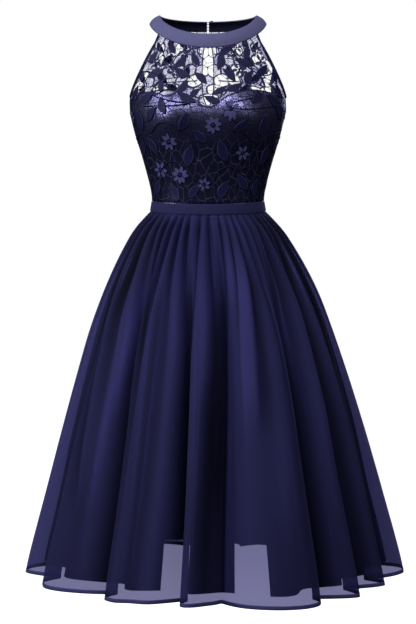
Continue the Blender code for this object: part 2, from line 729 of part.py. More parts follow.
def between_seams(surface, first, last, opening=None):
    """A panel of the skirt, drawn in a little at its first and last place, where it is
    sewn to the next one, or further where it leaves an opening at the centre back."""
    def place_on(place, down, offset):
        point = outside(surface, place, down, -offset, steps=(0.01, 0.01))
        if place not in (first, last):
            return point
        width = opening(down) if opening and place == BACK_SEAM else SEAM / 2
        towards = 0.01 if place == first else -0.01
        inside = surface(place + towards, down) - surface(place - towards, down)
        return point + inside.normalized() * width
    return place_on


def fold_places(first, last, per_gather):
    """Places across a panel of chiffon, enough for each gather and each half fold."""
    places = [first]
    for half in range(2 * first, 2 * last):
        fold = fold_place((half + 0.5) / 2)[0] % len(FOLDS)
        pieces = max(4, FOLDS[fold][GATHERS] * per_gather // 2)
        places += even(half / 2, (half + 1) / 2, pieces)[1:]
    return places


def make_skirt():
    """Gathered chiffon in three panels, over three panels of lining."""
    for side, first, last in (("front", 0, LEFT_SEAM), ("back_left", LEFT_SEAM, BACK_SEAM),
                              ("back_right", BACK_SEAM, len(FOLDS))):
        panel("skirt_" + side, between_seams(chiffon, first, last),
              fold_places(first, last, PER_GATHER), SKIRT_LEVELS, CHIFFON, "skirt_chiffon")
        in_front = side == "front"
        steps = [edge for step in HEM_STEPS for edge in step] if in_front else []
        places = sorted({*even(first, last, PER_LINING_FOLD * (last - first)), *steps})
        panel("skirt_lining_" + side, between_seams(skirt_lining, first, last, zip_opening),
              places, FRONT_LINING_LEVELS if in_front else BACK_LINING_LEVELS, LINING,
              "satin_lining", leave_out=in_hem_step if in_front else None)


def in_hem_step(middle):
    """Whether a face of the front lining lies where its hem steps up."""
    return middle.y > STEP_LEVEL and any(low < middle.x < high for low, high in HEM_STEPS)


def make_zip_tape():
    """The zip's tape, in the opening that the linings leave at the centre back."""
    def tape(x, row, offset):
        if row <= 0.0:
            z = mix(WAIST_TOP - WAIST_WIDTH, TAPE_TOP, -row)
            middle = outside(body, 180.0, z, LINING_OFFSET)
        else:
            middle = skirt_lining(BACK_SEAM, row)
        return middle + Vector((x, offset, 0.0))

    rows = even(-1.0, 0.0, TAPE_ROWS) + list(TAPE_LEVELS)
    panel("zip_tape", tape, (-TAPE_HALF, TAPE_HALF), rows, TAPE_THICK, "band_chiffon")


def block(name, size, centre, look, bevel=0.0):
    """A box with softened edges."""
    mesh = bmesh.new()
    bmesh.ops.create_cube(mesh, size=1.0)
    bmesh.ops.scale(mesh, vec=size, verts=mesh.verts)
    if bevel:
        bmesh.ops.bevel(mesh, geom=mesh.edges, offset=bevel, segments=1, profile=0.5,
                        affect="EDGES", material=-1)
    bmesh.ops.translate(mesh, vec=centre, verts=mesh.verts)
    return add_mesh(name, mesh, look)


def rod(name, radius, width, centre, look, sides=12):
    """A short round bar along X."""
    mesh = bmesh.new()
    bmesh.ops.create_cone(mesh, cap_ends=True, segments=sides, radius1=radius,
                          radius2=radius, depth=width)
    bmesh.ops.rotate(mesh, matrix=Matrix.Rotation(pi / 2, 3, "Y"), verts=mesh.verts)
    bmesh.ops.translate(mesh, vec=centre, verts=mesh.verts)
    return add_mesh(name, mesh, look)


def combine(thing, other, operation):
    """Join a helper to a piece, or cut it out, and keep the helper out of the model."""
    step = thing.modifiers.new(other.name, "BOOLEAN")
    step.operation = operation
    step.solver = "EXACT"
    step.object = other
    other.hide_render = True
    other.display_type = "WIRE"
    other.parent = thing


def make_zip_pull():
    """The slider on the outside of the zip, and the tab that swings on its pin."""
    face_y = outside(body, 180.0, SLIDER_Z, LACE / 2 + SEAM).y
    look = "zip_metal"
    middle = Vector((0.0, face_y + SLIDER[1] / 2, SLIDER_Z))
    pin = Vector((0.0, face_y + SLIDER[1] + PIN_OUT, SLIDER_Z + PIN_UP))
    slider = block("zip_slider", SLIDER, (0, 0, 0), look, bevel=SLIDER_BEVEL)
    slider.location = middle
    lug_width, lug_height = LUG
    lug_depth = SUNK + PIN_OUT + LUG_WRAP
    lug_y = SLIDER[1] / 2 - SUNK + lug_depth / 2
    for name, sign in (("lug_a", 1), ("lug_b", -1)):
        lug = block(name, (lug_width, lug_depth, lug_height), (sign * LUG_X, lug_y, PIN_UP),
                    look)
        combine(slider, lug, "UNION")
    bar = rod("bar", PIN_RADIUS, 2 * LUG_X, (0, SLIDER[1] / 2 + PIN_OUT, PIN_UP), look)
    combine(slider, bar, "UNION")

    tab = rod("zip_tab", EYE_RADIUS, EYE_WIDTH, (0, 0, 0), look)
    tab.location = pin
    neck = block("neck", (EYE_WIDTH, TAB_THICK, NECK_LENGTH), (0, 0, NECK_Z), look)
    combine(tab, neck, "UNION")
    plate_length = TAB_LENGTH - NECK_LENGTH
    plate = block("plate", (TAB_WIDTH, TAB_THICK, plate_length),
                  (0, 0, -NECK_LENGTH - plate_length / 2), look, bevel=TAB_BEVEL)
    combine(tab, plate, "UNION")
    bore = rod("bore", EYE_BORE, EYE_WIDTH + 2 * SUNK, (0, 0, 0), look)
    combine(tab, bore, "DIFFERENCE")


def make_buttons():
    """Covered buttons on one end of the collar, held by loops from the other end."""
    for button_name, loop_name, share in BUTTON_PLACES:
        angle = 180.0 - degrees(asin(BUTTON_X / mix(COLLAR_LOWER[0], COLLAR_UPPER[0], share)))
        foot = on_collar(angle, share, COLLAR / 2 + SEAM)
        normal = (foot - collar(angle, share)).normalized()
        mesh = bmesh.new()
        profile = [mesh.verts.new((radius, 0.0, height)) for radius, height in BUTTON_PROFILE]
        profile.insert(0, mesh.verts.new((0.0, 0.0, 0.0)))
        profile.append(mesh.verts.new((0.0, 0.0, BUTTON_CROWN)))
        for lower, upper in zip(profile, profile[1:]):
            mesh.edges.new((lower, upper))
        bmesh.ops.spin(mesh, geom=mesh.verts[:] + mesh.edges[:], cent=(0, 0, 0),
                       axis=(0, 0, 1), angle=2 * pi, steps=12, use_merge=True)
        bmesh.ops.remove_doubles(mesh, verts=mesh.verts, dist=0.00001)
        bmesh.ops.recalc_face_normals(mesh, faces=mesh.faces)
        button = add_mesh(button_name, mesh, "covered_button")
        button.location = foot
        button.rotation_euler = normal.to_track_quat("Z", "X").to_euler()

        lift = COLLAR / 2 + SEAM + LOOP_RADIUS
        points = []
        side_steps = even(-LOOP_REACH, BUTTON_X, 5)
        turn_steps = even(90.0, -90.0, 8)
        route = [(x, LOOP_TURN) for x in side_steps[:-1]]
        route += [(BUTTON_X + LOOP_TURN * cos(radians(turn)), LOOP_TURN * sin(radians(turn)))
                  for turn in turn_steps]
        route += [(x, -LOOP_TURN) for x in side_steps[-2::-1]]
        for x, up in route:
            spot = share + up / COLLAR_WIDTH
            half_width = mix(COLLAR_LOWER[0], COLLAR_UPPER[0], spot)
            angle = 180.0 - degrees(asin(x / half_width))
            points.append(on_collar(angle, spot, lift))
        tube(loop_name, points, LOOP_RADIUS, "band_chiffon", resolution=0)


make_collar()
make_lace("bodice_front_lace", front_lace, FRONT_CHART, -1.0, 3)
make_lace("bodice_back_lace_left", back_lace, BACK_CHART, 0.0, 5)
make_lace("bodice_back_lace_right", mirrored(back_lace), BACK_CHART, 0.0, 8)
make_bindings()
make_bodice_lining()
make_waistband()
make_skirt()
make_zip_tape()
make_zip_pull()
make_buttons()
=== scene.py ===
"""Looks of a halter-neck cocktail dress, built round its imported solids.

Metres, +Z up. The front faces -Y and +X is the wearer's left. Angles go round the body in
degrees: 0 front, 90 the wearer's left side, 180 back.
"""
import random
from math import asin, atan2, cos, degrees, exp, floor, pi, radians, sin

import bmesh
import bpy
import numpy as np
from mathutils import Matrix, Vector


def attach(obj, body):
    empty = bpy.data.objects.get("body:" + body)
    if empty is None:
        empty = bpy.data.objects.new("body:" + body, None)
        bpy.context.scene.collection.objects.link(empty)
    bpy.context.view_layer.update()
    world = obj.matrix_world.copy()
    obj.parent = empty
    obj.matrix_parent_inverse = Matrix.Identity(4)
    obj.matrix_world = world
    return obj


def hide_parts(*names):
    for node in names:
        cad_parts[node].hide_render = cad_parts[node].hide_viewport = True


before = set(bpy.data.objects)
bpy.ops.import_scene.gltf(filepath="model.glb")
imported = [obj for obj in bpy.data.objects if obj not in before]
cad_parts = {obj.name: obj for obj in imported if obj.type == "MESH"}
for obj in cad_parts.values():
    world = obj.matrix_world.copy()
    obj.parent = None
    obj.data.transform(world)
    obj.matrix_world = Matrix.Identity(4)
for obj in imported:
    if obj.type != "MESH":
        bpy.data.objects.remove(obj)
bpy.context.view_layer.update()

# ------------------------------------------------------------------ bodice lining
# Smooth satin, cut with cups and darts for a general figure: one front with a sweetheart
# top edge, and two backs that stop beside the zip. It is sewn into the waistband and to
# the lace's side seams, and its top edge is turned in and stitched.

LINING_THICK = 0.0008
# Horizontal sections of the bodice: height, half width, depth in front, depth behind
BODICE = (
    (-0.010, 0.1500, 0.0400, 0.0590),
    (-0.038, 0.1500, 0.0600, 0.0740),
    (-0.064, 0.1500, 0.0850, 0.0850),
    (-0.100, 0.1500, 0.0985, 0.0930),
    (-0.130, 0.1500, 0.1060, 0.0950),
    (-0.158, 0.1500, 0.1125, 0.0960),
    (-0.175, 0.1503, 0.1150, 0.0955),
    (-0.200, 0.1450, 0.1160, 0.0940),
    (-0.2315, 0.1370, 0.1095, 0.0925),
    (-0.2625, 0.1274, 0.1015, 0.0890),
    (-0.2934, 0.1187, 0.0955, 0.0855),
    (-0.324, 0.1110, 0.0905, 0.0838),
    (-0.348, 0.1080, 0.0880, 0.0830),
    (-0.370, 0.1108, 0.0893, 0.0843),
    (-0.392, 0.1125, 0.0905, 0.0855),
)
HALF_WIDTH, FRONT, BACK = 1, 2, 3
# Cups: how far they stand out, their middle, and their half width and height
CUP_RISE = 0.015
CUP_X, CUP_Z = 0.071, -0.192
CUP_WIDE, CUP_TALL = 0.043, 0.045
# Top edge of the front lining, then of the back one: angle, height
SWEETHEART = ((0, -0.178), (8, -0.168), (18, -0.154), (32, -0.1455), (55, -0.148),
              (80, -0.152), (90, -0.155))
BACK_TOP = ((90, -0.155), (130, -0.160), (180, -0.166))
# Distance outside the body's form behind the bands, and above the waist once eased
LINING_OFFSET, LINING_CLOSE, LINING_EASE = -0.0030, -0.0016, 0.008
LINING_TUCK = 0.0095      # how far it runs in behind the waistband
ZIP_CLEAR = 0.0065        # from the centre back to its edge beside the zip
# Waistband's upper edge: height, its dip in front, and how fast the dip sets in
WAIST_TOP, WAIST_DIP, WAIST_DIP_ONSET = -0.3493, 0.0115, 1.2
SATIN, SATIN_THREAD = (0.215, 0.208, 0.280), 0.0004
SIDE_SEAM = 89.99         # where the front ends


def mix(start, end, share):
    """From start to end by a share."""
    return start + (end - start) * share


def smooth(share):
    """A share from 0 to 1 that starts and ends softly."""
    share = min(max(share, 0.0), 1.0)
    return share * share * (3.0 - 2.0 * share)


def even(start, end, pieces):
    """Evenly spaced values from start to end."""
    return [mix(start, end, k / pieces) for k in range(pieces + 1)]


def read(table, column, place):
    """A column's value on a smooth curve through the table's rows, placed by column 0."""
    rows = table if table[0][0] < table[-1][0] else table[::-1]
    place = min(max(place, rows[0][0]), rows[-1][0])
    low = max(k for k in range(len(rows) - 1) if rows[k][0] <= place)

    def slope(k):
        before, after = rows[max(k - 1, 0)], rows[min(k + 1, len(rows) - 1)]
        return (after[column] - before[column]) / (after[0] - before[0])

    span = rows[low + 1][0] - rows[low][0]
    share = (place - rows[low][0]) / span
    rest = 1.0 - share
    return (rows[low][column] * (1.0 + 2.0 * share) * rest ** 2
            + rows[low + 1][column] * (1.0 + 2.0 * rest) * share ** 2
            + slope(low) * span * share * rest ** 2
            - slope(low + 1) * span * share ** 2 * rest)


def distances(points):
    """How far along a route each of its points lies."""
    steps = np.linalg.norm(np.diff(points, axis=0), axis=1)
    return np.concatenate(([0.0], np.cumsum(steps)))


def beside_back(x, half_width):
    """Angle of a place at a distance from the centre back, for the body's half width."""
    return 180.0 - degrees(asin(x / half_width))


def body(angle, z):
    """Middle of the bodice's cloth on the general figure that it is cut for."""
    turn = radians(angle)
    x = read(BODICE, HALF_WIDTH, z) * sin(turn)
    if cos(turn) < 0.0:
        return Vector((x, -read(BODICE, BACK, z) * cos(turn), z))
    cup = exp(-((abs(x) - CUP_X) / CUP_WIDE) ** 2) * exp(-((z - CUP_Z) / CUP_TALL) ** 2)
    depth = read(BODICE, FRONT, z) + CUP_RISE * cup
    return Vector((x, -depth * cos(turn), z))


def outside(surface, across, up, distance, steps=(0.5, 0.001)):
    """The point at a distance outside a surface, along its normal. The steps are small
    ones in the surface's two directions, first across and then up."""
    step, rise = steps
    along = surface(across + step, up) - surface(across - step, up)
    upwards = surface(across, up + rise) - surface(across, up - rise)
    return surface(across, up) + distance * along.cross(upwards).normalized()


def waist_top(angle):
    """Height of the waistband's upper edge."""
    return WAIST_TOP - WAIST_DIP * max(0.0, cos(radians(angle))) ** WAIST_DIP_ONSET


def cloth(name, place, columns, rows, thickness, leave_out=None, shade=None):
    """A sheet of cloth with a corner at each of its columns and rows. Its UV map is in
    metres: across along its longest row, and down along its middle column. A painted
    shade, colour that stands in for light and shade, is kept at each corner."""
    mesh = bmesh.new()
    # A layer of painted shade: colour that stands in for the shade and highlights of the folds
    painted_shades = mesh.verts.layers.float.new("shade")
    across, down = len(columns) - 1, len(rows) - 1
    bmesh.ops.create_grid(mesh, x_segments=across, y_segments=down, size=1.0)
    spots = {corner: (round((corner.co.x + 1) / 2 * across),
                      round((1 - corner.co.y) / 2 * down)) for corner in mesh.verts}
    points = np.zeros((across + 1, down + 1, 3))
    for corner, (column, row) in spots.items():
        corner.co = place(columns[column], rows[row])
        points[column, row] = corner.co
        if shade:
            corner[painted_shades] = shade(columns[column], rows[row])
    widths = np.linalg.norm(np.diff(points, axis=0), axis=2)
    u = distances(points[:, widths.sum(axis=0).argmax()])
    v = distances(points[across // 2])
    uv = mesh.loops.layers.uv.new("UVMap")
    for face in mesh.faces:
        for loop in face.loops:
            column, row = spots[loop.vert]
            loop[uv].uv = (u[column], -v[row])
    if leave_out:
        gone = [face for face in mesh.faces
                if leave_out(*np.mean([(columns[spots[corner][0]], rows[spots[corner][1]])
                                       for corner in face.verts], axis=0))]
        bmesh.ops.delete(mesh, geom=gone, context="FACES")
    piece = add_piece(name, mesh)
    thicken(piece, thickness)
    return piece


def thicken(piece, thickness):
    """Give a sheet its thickness, half to each side."""
    wall = piece.modifiers.new("thickness", "SOLIDIFY")
    wall.thickness = thickness
    wall.offset = 0.0


def add_piece(name, mesh):
    """A smooth-shaded object from a finished bmesh, which stays at the origin."""
    data = bpy.data.meshes.new(name)
    mesh.to_mesh(data)
    mesh.free()
    data.shade_smooth()
    return add_object(name, data)


def add_object(name, data):
    """A new object in the scene, at the origin."""
    made = bpy.data.objects.new(name, data)
    bpy.context.scene.collection.objects.link(made)
    return made


class Socket:
    """An output in a material's nodes. Python's operators on it add Math nodes."""

    def __init__(self, tree, link=None):
        self.tree, self.link = tree, link

    def node(self, kind, settings=(), sockets=(), output=0):
        """A new node: its settings are made first, then its sockets' values or links."""
        made = self.tree.nodes.new(kind)
        for name, value in dict(settings).items():
            if name == "stops":
                for _ in range(len(value) - 2):
                    made.color_ramp.elements.new(0.5)
                for element, (position, colour) in zip(made.color_ramp.elements, value):
                    element.position = position
                    element.color = (*colour, 1.0)
            else:
                setattr(made, name, value)
        for name, value in dict(sockets).items():
            if isinstance(value, Socket):
                self.tree.links.new(value.link, made.inputs[name])
            else:
                made.inputs[name].default_value = value
        return Socket(self.tree, made.outputs[output])

    def maths(self, operation, first, second=0.0):
        return self.node("ShaderNodeMath", {"operation": operation}, {0: first, 1: second})

    def __add__(self, other):
        return self.maths("ADD", self, other)

    def __radd__(self, other):
        return self.maths("ADD", other, self)

    def __sub__(self, other):
        return self.maths("SUBTRACT", self, other)

    def __rsub__(self, other):
        return self.maths("SUBTRACT", other, self)

    def __mul__(self, other):
        return self.maths("MULTIPLY", self, other)

    def __rmul__(self, other):
        return self.maths("MULTIPLY", other, self)

    def __lt__(self, other):
        return self.maths("LESS_THAN", self, other)

    def __gt__(self, other):
        return self.maths("GREATER_THAN", self, other)

    def waves(self, pitch):
        """A wave from 0 to 1 that repeats at a pitch."""
        return self.maths("SINE", self * (2 * pi / pitch)) * 0.5 + 0.5

    def between(self, low, high):
        """From two colours, by this share."""
        return self.node("ShaderNodeMix", {"data_type": "RGBA"},
                         {0: self, 6: (*low, 1.0), 7: (*high, 1.0)}, output=2)


def new_look(name, roughness, **fixed):
    """A material with a Principled shader, and the start of its nodes."""
    material = bpy.data.materials.new(name)
    material.use_nodes = True
    shader = material.node_tree.nodes["Principled BSDF"]
    shader.inputs["Roughness"].default_value = roughness
    for socket, value in fixed.items():
        shader.inputs[socket.replace("_", " ")].default_value = value
    return material, Socket(material.node_tree)


def connect(material, **links):
    """Link sockets to the material's Principled shader."""
    shader = material.node_tree.nodes["Principled BSDF"]
    for socket, value in links.items():
        material.node_tree.links.new(value.link, shader.inputs[socket.replace("_", " ")])


def cloth_place(nodes, on_cloth=True):
    """The place on the cloth's UV map, in metres, as a vector and its two parts, or else
    the place in the object's own coordinates, across and up."""
    if on_cloth:
        place = nodes.node("ShaderNodeUVMap", {"uv_map": "UVMap"})
    else:
        place = nodes.node("ShaderNodeTexCoord", output=3)
    u = nodes.node("ShaderNodeSeparateXYZ", (), {0: place})
    return place, u, Socket(nodes.tree, u.link.node.outputs[1 if on_cloth else 2])


def noise(nodes, place, scale, detail=2.0, stretch=(1.0, 1.0, 1.0)):
    """Soft noise from 0 to 1, in patches of about one over the scale."""
    spot = nodes.node("ShaderNodeMapping", (), {0: place, 3: stretch})
    return nodes.node("ShaderNodeTexNoise", (), {"Vector": spot, "Scale": scale,
                                                 "Detail": detail})


def bump(nodes, height, distance):
    """A normal that is raised by a height from 0 to 1, times a distance in metres."""
    return nodes.node("ShaderNodeBump", (), {"Height": height, "Distance": distance,
                                             "Strength": 1.0})


def tone(colour, share):
    """A colour made that many times as light."""
    return tuple(share * part for part in colour)


def satin_look(name, colour):
    """Warp-faced satin: fine upright threads, dark but with a pale gloss."""
    look, nodes = new_look(name, 0.36, Metallic=0.97)
    place, u, v = cloth_place(nodes)
    slubs = noise(nodes, place, 500.0, stretch=(1.0, 0.08, 1.0))
    threads = u.waves(SATIN_THREAD)
    connect(look, Base_Color=slubs.between(colour, tone(colour, 1.3)),
            Roughness=slubs * 0.06 + 0.31,
            Normal=bump(nodes, threads * 0.5 + slubs, 0.00002))
    return look


def sew_on(piece, look, body_name="root"):
    """Give a piece its material and slot, and let it ride on a body."""
    piece.data.materials.append(look)
    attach(piece, body_name)


def wear(piece, look, nodes):
    """Sew a piece on in place of its solids."""
    sew_on(piece, look)
    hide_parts(*nodes)


def bodice_lining(angle, down):
    """The bodice's lining: down runs from its top edge to behind the waistband."""
    turn = abs(angle)
    top = read(SWEETHEART, 1, turn) if turn <= 90.0 else read(BACK_TOP, 1, turn)
    z = mix(top, waist_top(angle) - LINING_TUCK, down)
    close = smooth((z - waist_top(angle)) / LINING_EASE)
    return outside(body, angle, z, mix(LINING_OFFSET, LINING_CLOSE, close))


satin = satin_look("bodice_satin", SATIN)
zip_edge = beside_back(ZIP_CLEAR, read(BODICE, HALF_WIDTH, WAIST_TOP))
for side, first, last, columns in (("front", -SIDE_SEAM, SIDE_SEAM, 96),
                                   ("back_left", 180.0 - SIDE_SEAM, zip_edge, 44),
                                   ("back_right", -zip_edge, SIDE_SEAM - 180.0, 44)):
    piece = cloth("bodice_lining_" + side, bodice_lining, even(first, last, columns),
                  even(0.0, 1.0, 60), LINING_THICK)
    wear(piece, satin, ["bodice_lining_" + side])
    width, area = (0.420, 0.080) if side == "front" else (0.190, 0.033)

# ------------------------------------------------------------------ lace
# Corded lace: a fine net whose larger gaps are open, with fillings edged by thread. It is
# one front and two backs, drawn over the lining and sewn under the collar, into the
# bindings and into the waistband. Each gap stands where the solids have theirs.

LACE_THICK = 0.0005
# Gap at a seam of the solids, and half the gap where the cloth is sewn together
SEAM, STITCHED = 0.0003, 0.00003
# Collar band: half width, front depth, back depth, height at the side, drop in front,
# drop behind, and how fast the drop sets in
COLLAR_UPPER = (0.0920, 0.078, 0.062, 0.0084, 0.0478, 0.0021, 1.15)
COLLAR_LOWER = (0.1120, 0.086, 0.0745, -0.0077, 0.0580, 0.0038, 1.25)
COLLAR_WIDTH = 0.0265
# How far the band bulges out, and how steeply upwards
COLLAR_BULGE, COLLAR_SLANT = 0.0030, 0.6
# Armholes: turn of their edge, the height over which it turns, and how it sets in
UNDERARM = -0.150
ARMHOLE = {"front": (53.8, 0.120, 0.57), "back": (51.5, 0.130, 0.68)}
ATTACH = {"front": 54.5, "back": 54.2}    # angle where an armhole meets the collar
PULL = 0.045              # height over which the lace is drawn over to the collar
BINDING_RADIUS = 0.0017
LACE_INSET = BINDING_RADIUS + 0.0005
# Keyhole at the centre back: height, half width to its binding, half width to the lace
KEYHOLE = (
    (-0.0115, 0.0022, 0.0040),
    (-0.0350, 0.0062, 0.0080),
    (-0.0600, 0.0105, 0.0122),
    (-0.1100, 0.0115, 0.0132),
    (-0.1400, 0.0085, 0.0103),
    (-0.1520, 0.0042, 0.0062),
    (-0.1580, 0.0020, 0.0038),
    (-0.1660, 0.0018, 0.0009),
)
BACK_HALF_GAP = 0.0008
EDGE_REACH = 1.12         # how far up an armhole's edge is worked out, in its rises
# The yoke's share of the lace's height and its rows, how they spread there beside the
# armhole, and how rows bend towards it
YOKE_SHARE, YOKE_ROWS = 0.44, 7
ROW_SPREAD, ROW_BEND = 1.7, 3
# How uneven the meshes are and how far they zigzag, and the thread round a gap, in meshes
LACE_UNEVEN, LACE_ZIGZAG = 0.09, 0.15
THREAD_BAR = 0.016
MESH_WIDE, MESH_TALL = 0.021, 0.026        # size of a mesh on the UV map
# Charts of the meshes from the collar down: o is a gap, . is closed by net and motifs
FRONT_CHART = (
    ".o.o..oo..o.o.",
    "o.oo.o.o.o..oo.",
    "..oo..oo.oo..o",
    ".o..o.o.oo..oo.",
    "oo.oo..o..oo..",
    ".......o.......",
    "..............",
    "...............",
    "..............",
    "...............",
    "..............",
    "...............",
)
BACK_CHART = (
    ".o.o.o",
    "o.oo.o.",
    "..o.oo",
    ".oo..o.",
    "oo..oo",
    "o..oo..",
    "..o.o.",
    ".......",
    "......",
    ".......",
    "......",
)
FRONT_MESHES, BACK_MESHES = 14, 6
DARK_THREAD, THREAD = (0.0025, 0.0025, 0.012), (0.0100, 0.0100, 0.036)
NET_THREAD = (0.034, 0.034, 0.095)
TWIST_PITCH, TWIST_SLANT = 0.0009, 0.6    # of the strands in a thread
# What one face of the net lets through: its tint and share, in the open and at a thread
OPEN_TINT, OPEN_SHEER = (0.90, 0.90, 0.97), 0.96
NET_TINT, NET_SHEER = (0.66, 0.66, 0.84), 0.80
# Cells in a metre, half width of a bar as a share of a cell, and how uneven they are
FINE_CELLS, CRACKLE_CELLS = (330.0, 0.085, 0.70), (90.0, 0.022, 1.0)
CELL_STRETCH, CELL_WANDER = 0.62, 0.003
# The net is closer below the yoke: from this height on the UV map to this one, to a share
CLOSER_FROM, CLOSER_TO, CLOSER_SHARE = -0.185, -0.235, 0.15


def collar(angle, share):
    """Middle of the collar band: share 0 on its lower edge, 1 on its upper edge."""
    turn = radians(angle)
    edges = []
    for half_width, front, back, side_z, front_drop, back_drop, onset in (COLLAR_LOWER,
                                                                        COLLAR_UPPER):
        ahead = cos(turn) >= 0.0
        drop = (front_drop if ahead else back_drop) * abs(cos(turn)) ** onset
        depth = front if ahead else back
        edges.append(Vector((half_width * sin(turn), -depth * cos(turn), side_z - drop)))
    lower, upper = edges
    bulge = COLLAR_BULGE * max(0.0, 4.0 * share * (1.0 - share))
    out = Vector((sin(turn), -cos(turn), COLLAR_SLANT)).normalized()
    return lower.lerp(upper, share) + bulge * out


def sewn_under_collar(angle):
    """Where cloth that is sewn to the collar's lower edge ends."""
    return collar(angle, -2 * SEAM / COLLAR_WIDTH)


def armhole_angle(side, z):
    """Angle of the armhole's edge at a height; 90 below the underarm."""
    turn, rise, power = ARMHOLE[side]
    away = turn * (max(z - UNDERARM, 0.0) / rise) ** power
    return 90.0 - away if side == "front" else 90.0 + away


def lace(angle, z):
    """Middle of the lace: the body's form, drawn over to the collar near the neck."""
    if angle < 0.0:
        other = lace(-angle, z)
        return Vector((-other.x, other.y, other.z))
    side = "front" if angle <= 90.0 else "back"
    middle = 0.0 if side == "front" else 180.0
    share = (angle - middle) / (armhole_angle(side, z) - middle)
    sewn = sewn_under_collar(middle + (share if side == "front" else -share) * ATTACH[side])
    weight = smooth(1.0 - (sewn.z - z) / PULL)
    if weight == 0.0:
        return body(angle, z)
    at_top = body(mix(middle, armhole_angle(side, sewn.z), share), sewn.z)
    return body(angle, z) + weight * (sewn - at_top)


def inset_edge(side):
    """The lace's edge beside the armhole's binding, as heights and angles."""
    heights, angles = [], []
    towards = 1 if side == "front" else -1
    for step in even(0.0, 1.0, 40):
        z = UNDERARM + ARMHOLE[side][1] * EDGE_REACH * step ** 2
        near = z + 0.0002
        point = body(armhole_angle(side, z), z)
        along = body(armhole_angle(side, near), near) - point
        normal = outside(body, armhole_angle(side, z), z, 1.0) - point
        inset = point + normal.cross(along).normalized() * LACE_INSET * towards
        heights.append(inset.z)
        depth = read(BODICE, FRONT if side == "front" else BACK, inset.z)
        angles.append(degrees(atan2(inset.x / read(BODICE, HALF_WIDTH, inset.z),
                                    -inset.y / depth)))
    return heights, angles


LACE_EDGE = {side: inset_edge(side) for side in ARMHOLE}


def lace_edge_angle(side, z):
    """Angle of the lace's edge: beside the armhole's binding, or on the side seam."""
    heights, angles = LACE_EDGE[side]
    seam = degrees(STITCHED / read(BODICE, FRONT, z))
    limit = 90.0 - seam if side == "front" else 90.0 + seam
    if z <= heights[0]:
        return limit
    angle = float(np.interp(z, heights, angles))
    return min(angle, limit) if side == "front" else max(angle, limit)


def collar_height(side, share):
    """Height of the lace's top at a share of the way from its middle to its edge."""
    middle, towards = (0.0, 1) if side == "front" else (180.0, -1)
    z = sewn_under_collar(middle + towards * ATTACH[side]).z
    reach = (lace_edge_angle(side, z) - middle) / (armhole_angle(side, z) - middle)
    return sewn_under_collar(middle + towards * ATTACH[side] * reach * share).z


def lace_height(down, top, bottom, edge_top, to_edge):
    """Height of a place on the lace: near the armhole the rows bend up or down."""
    straight = mix(top, bottom, down)
    if down < YOKE_SHARE:
        height = edge_top - (UNDERARM - LACE_INSET)
        share_up = max(0.0, 1.0 - down / YOKE_SHARE) ** ROW_SPREAD
        at_edge = UNDERARM - LACE_INSET + height * share_up
    else:
        at_edge = mix(UNDERARM - LACE_INSET, WAIST_TOP + SEAM,
                      (down - YOKE_SHARE) / (1.0 - YOKE_SHARE))
    straight_edge = mix(edge_top, WAIST_TOP + SEAM, down)
    return straight + (at_edge - straight_edge) * to_edge ** ROW_BEND


def rows_down(row, rows):
    """Share of the lace's height at a row of its chart."""
    if row < YOKE_ROWS:
        return YOKE_SHARE * row / YOKE_ROWS
    return mix(YOKE_SHARE, 1.0, (row - YOKE_ROWS) / (rows - YOKE_ROWS))


def front_lace(column, row, offset=0.0):
    """A place on the front lace, by its chart's columns and rows."""
    across = 2.0 * min(max(column / FRONT_MESHES, 0.0), 1.0) - 1.0
    down = rows_down(min(max(row, 0.0), len(FRONT_CHART)), len(FRONT_CHART))
    share = abs(across)
    z = lace_height(down, collar_height("front", share), waist_top(90.0 * share) + SEAM,
                    collar_height("front", 1.0), share)
    return outside(lace, across * lace_edge_angle("front", z), z, offset)


def left_back_lace(column, row, offset=0.0):
    """A place on the wearer's left back lace, from the centre back outwards."""
    across = min(max(column / BACK_MESHES, 0.0), 1.0)
    down = rows_down(min(max(row, 0.0), len(BACK_CHART)), len(BACK_CHART))
    z = lace_height(down, collar_height("back", across), WAIST_TOP + SEAM,
                    collar_height("back", 1.0), across)
    half_gap = max(BACK_HALF_GAP, read(KEYHOLE, 2, z))
    start = beside_back(half_gap, read(BODICE, HALF_WIDTH, z))
    return outside(lace, mix(start, lace_edge_angle("back", z), across), z, offset)


def right_back_lace(column, row, offset=0.0):
    """The same on the wearer's right."""
    point = left_back_lace(column, row, offset)
    return Vector((-point.x, point.y, point.z))


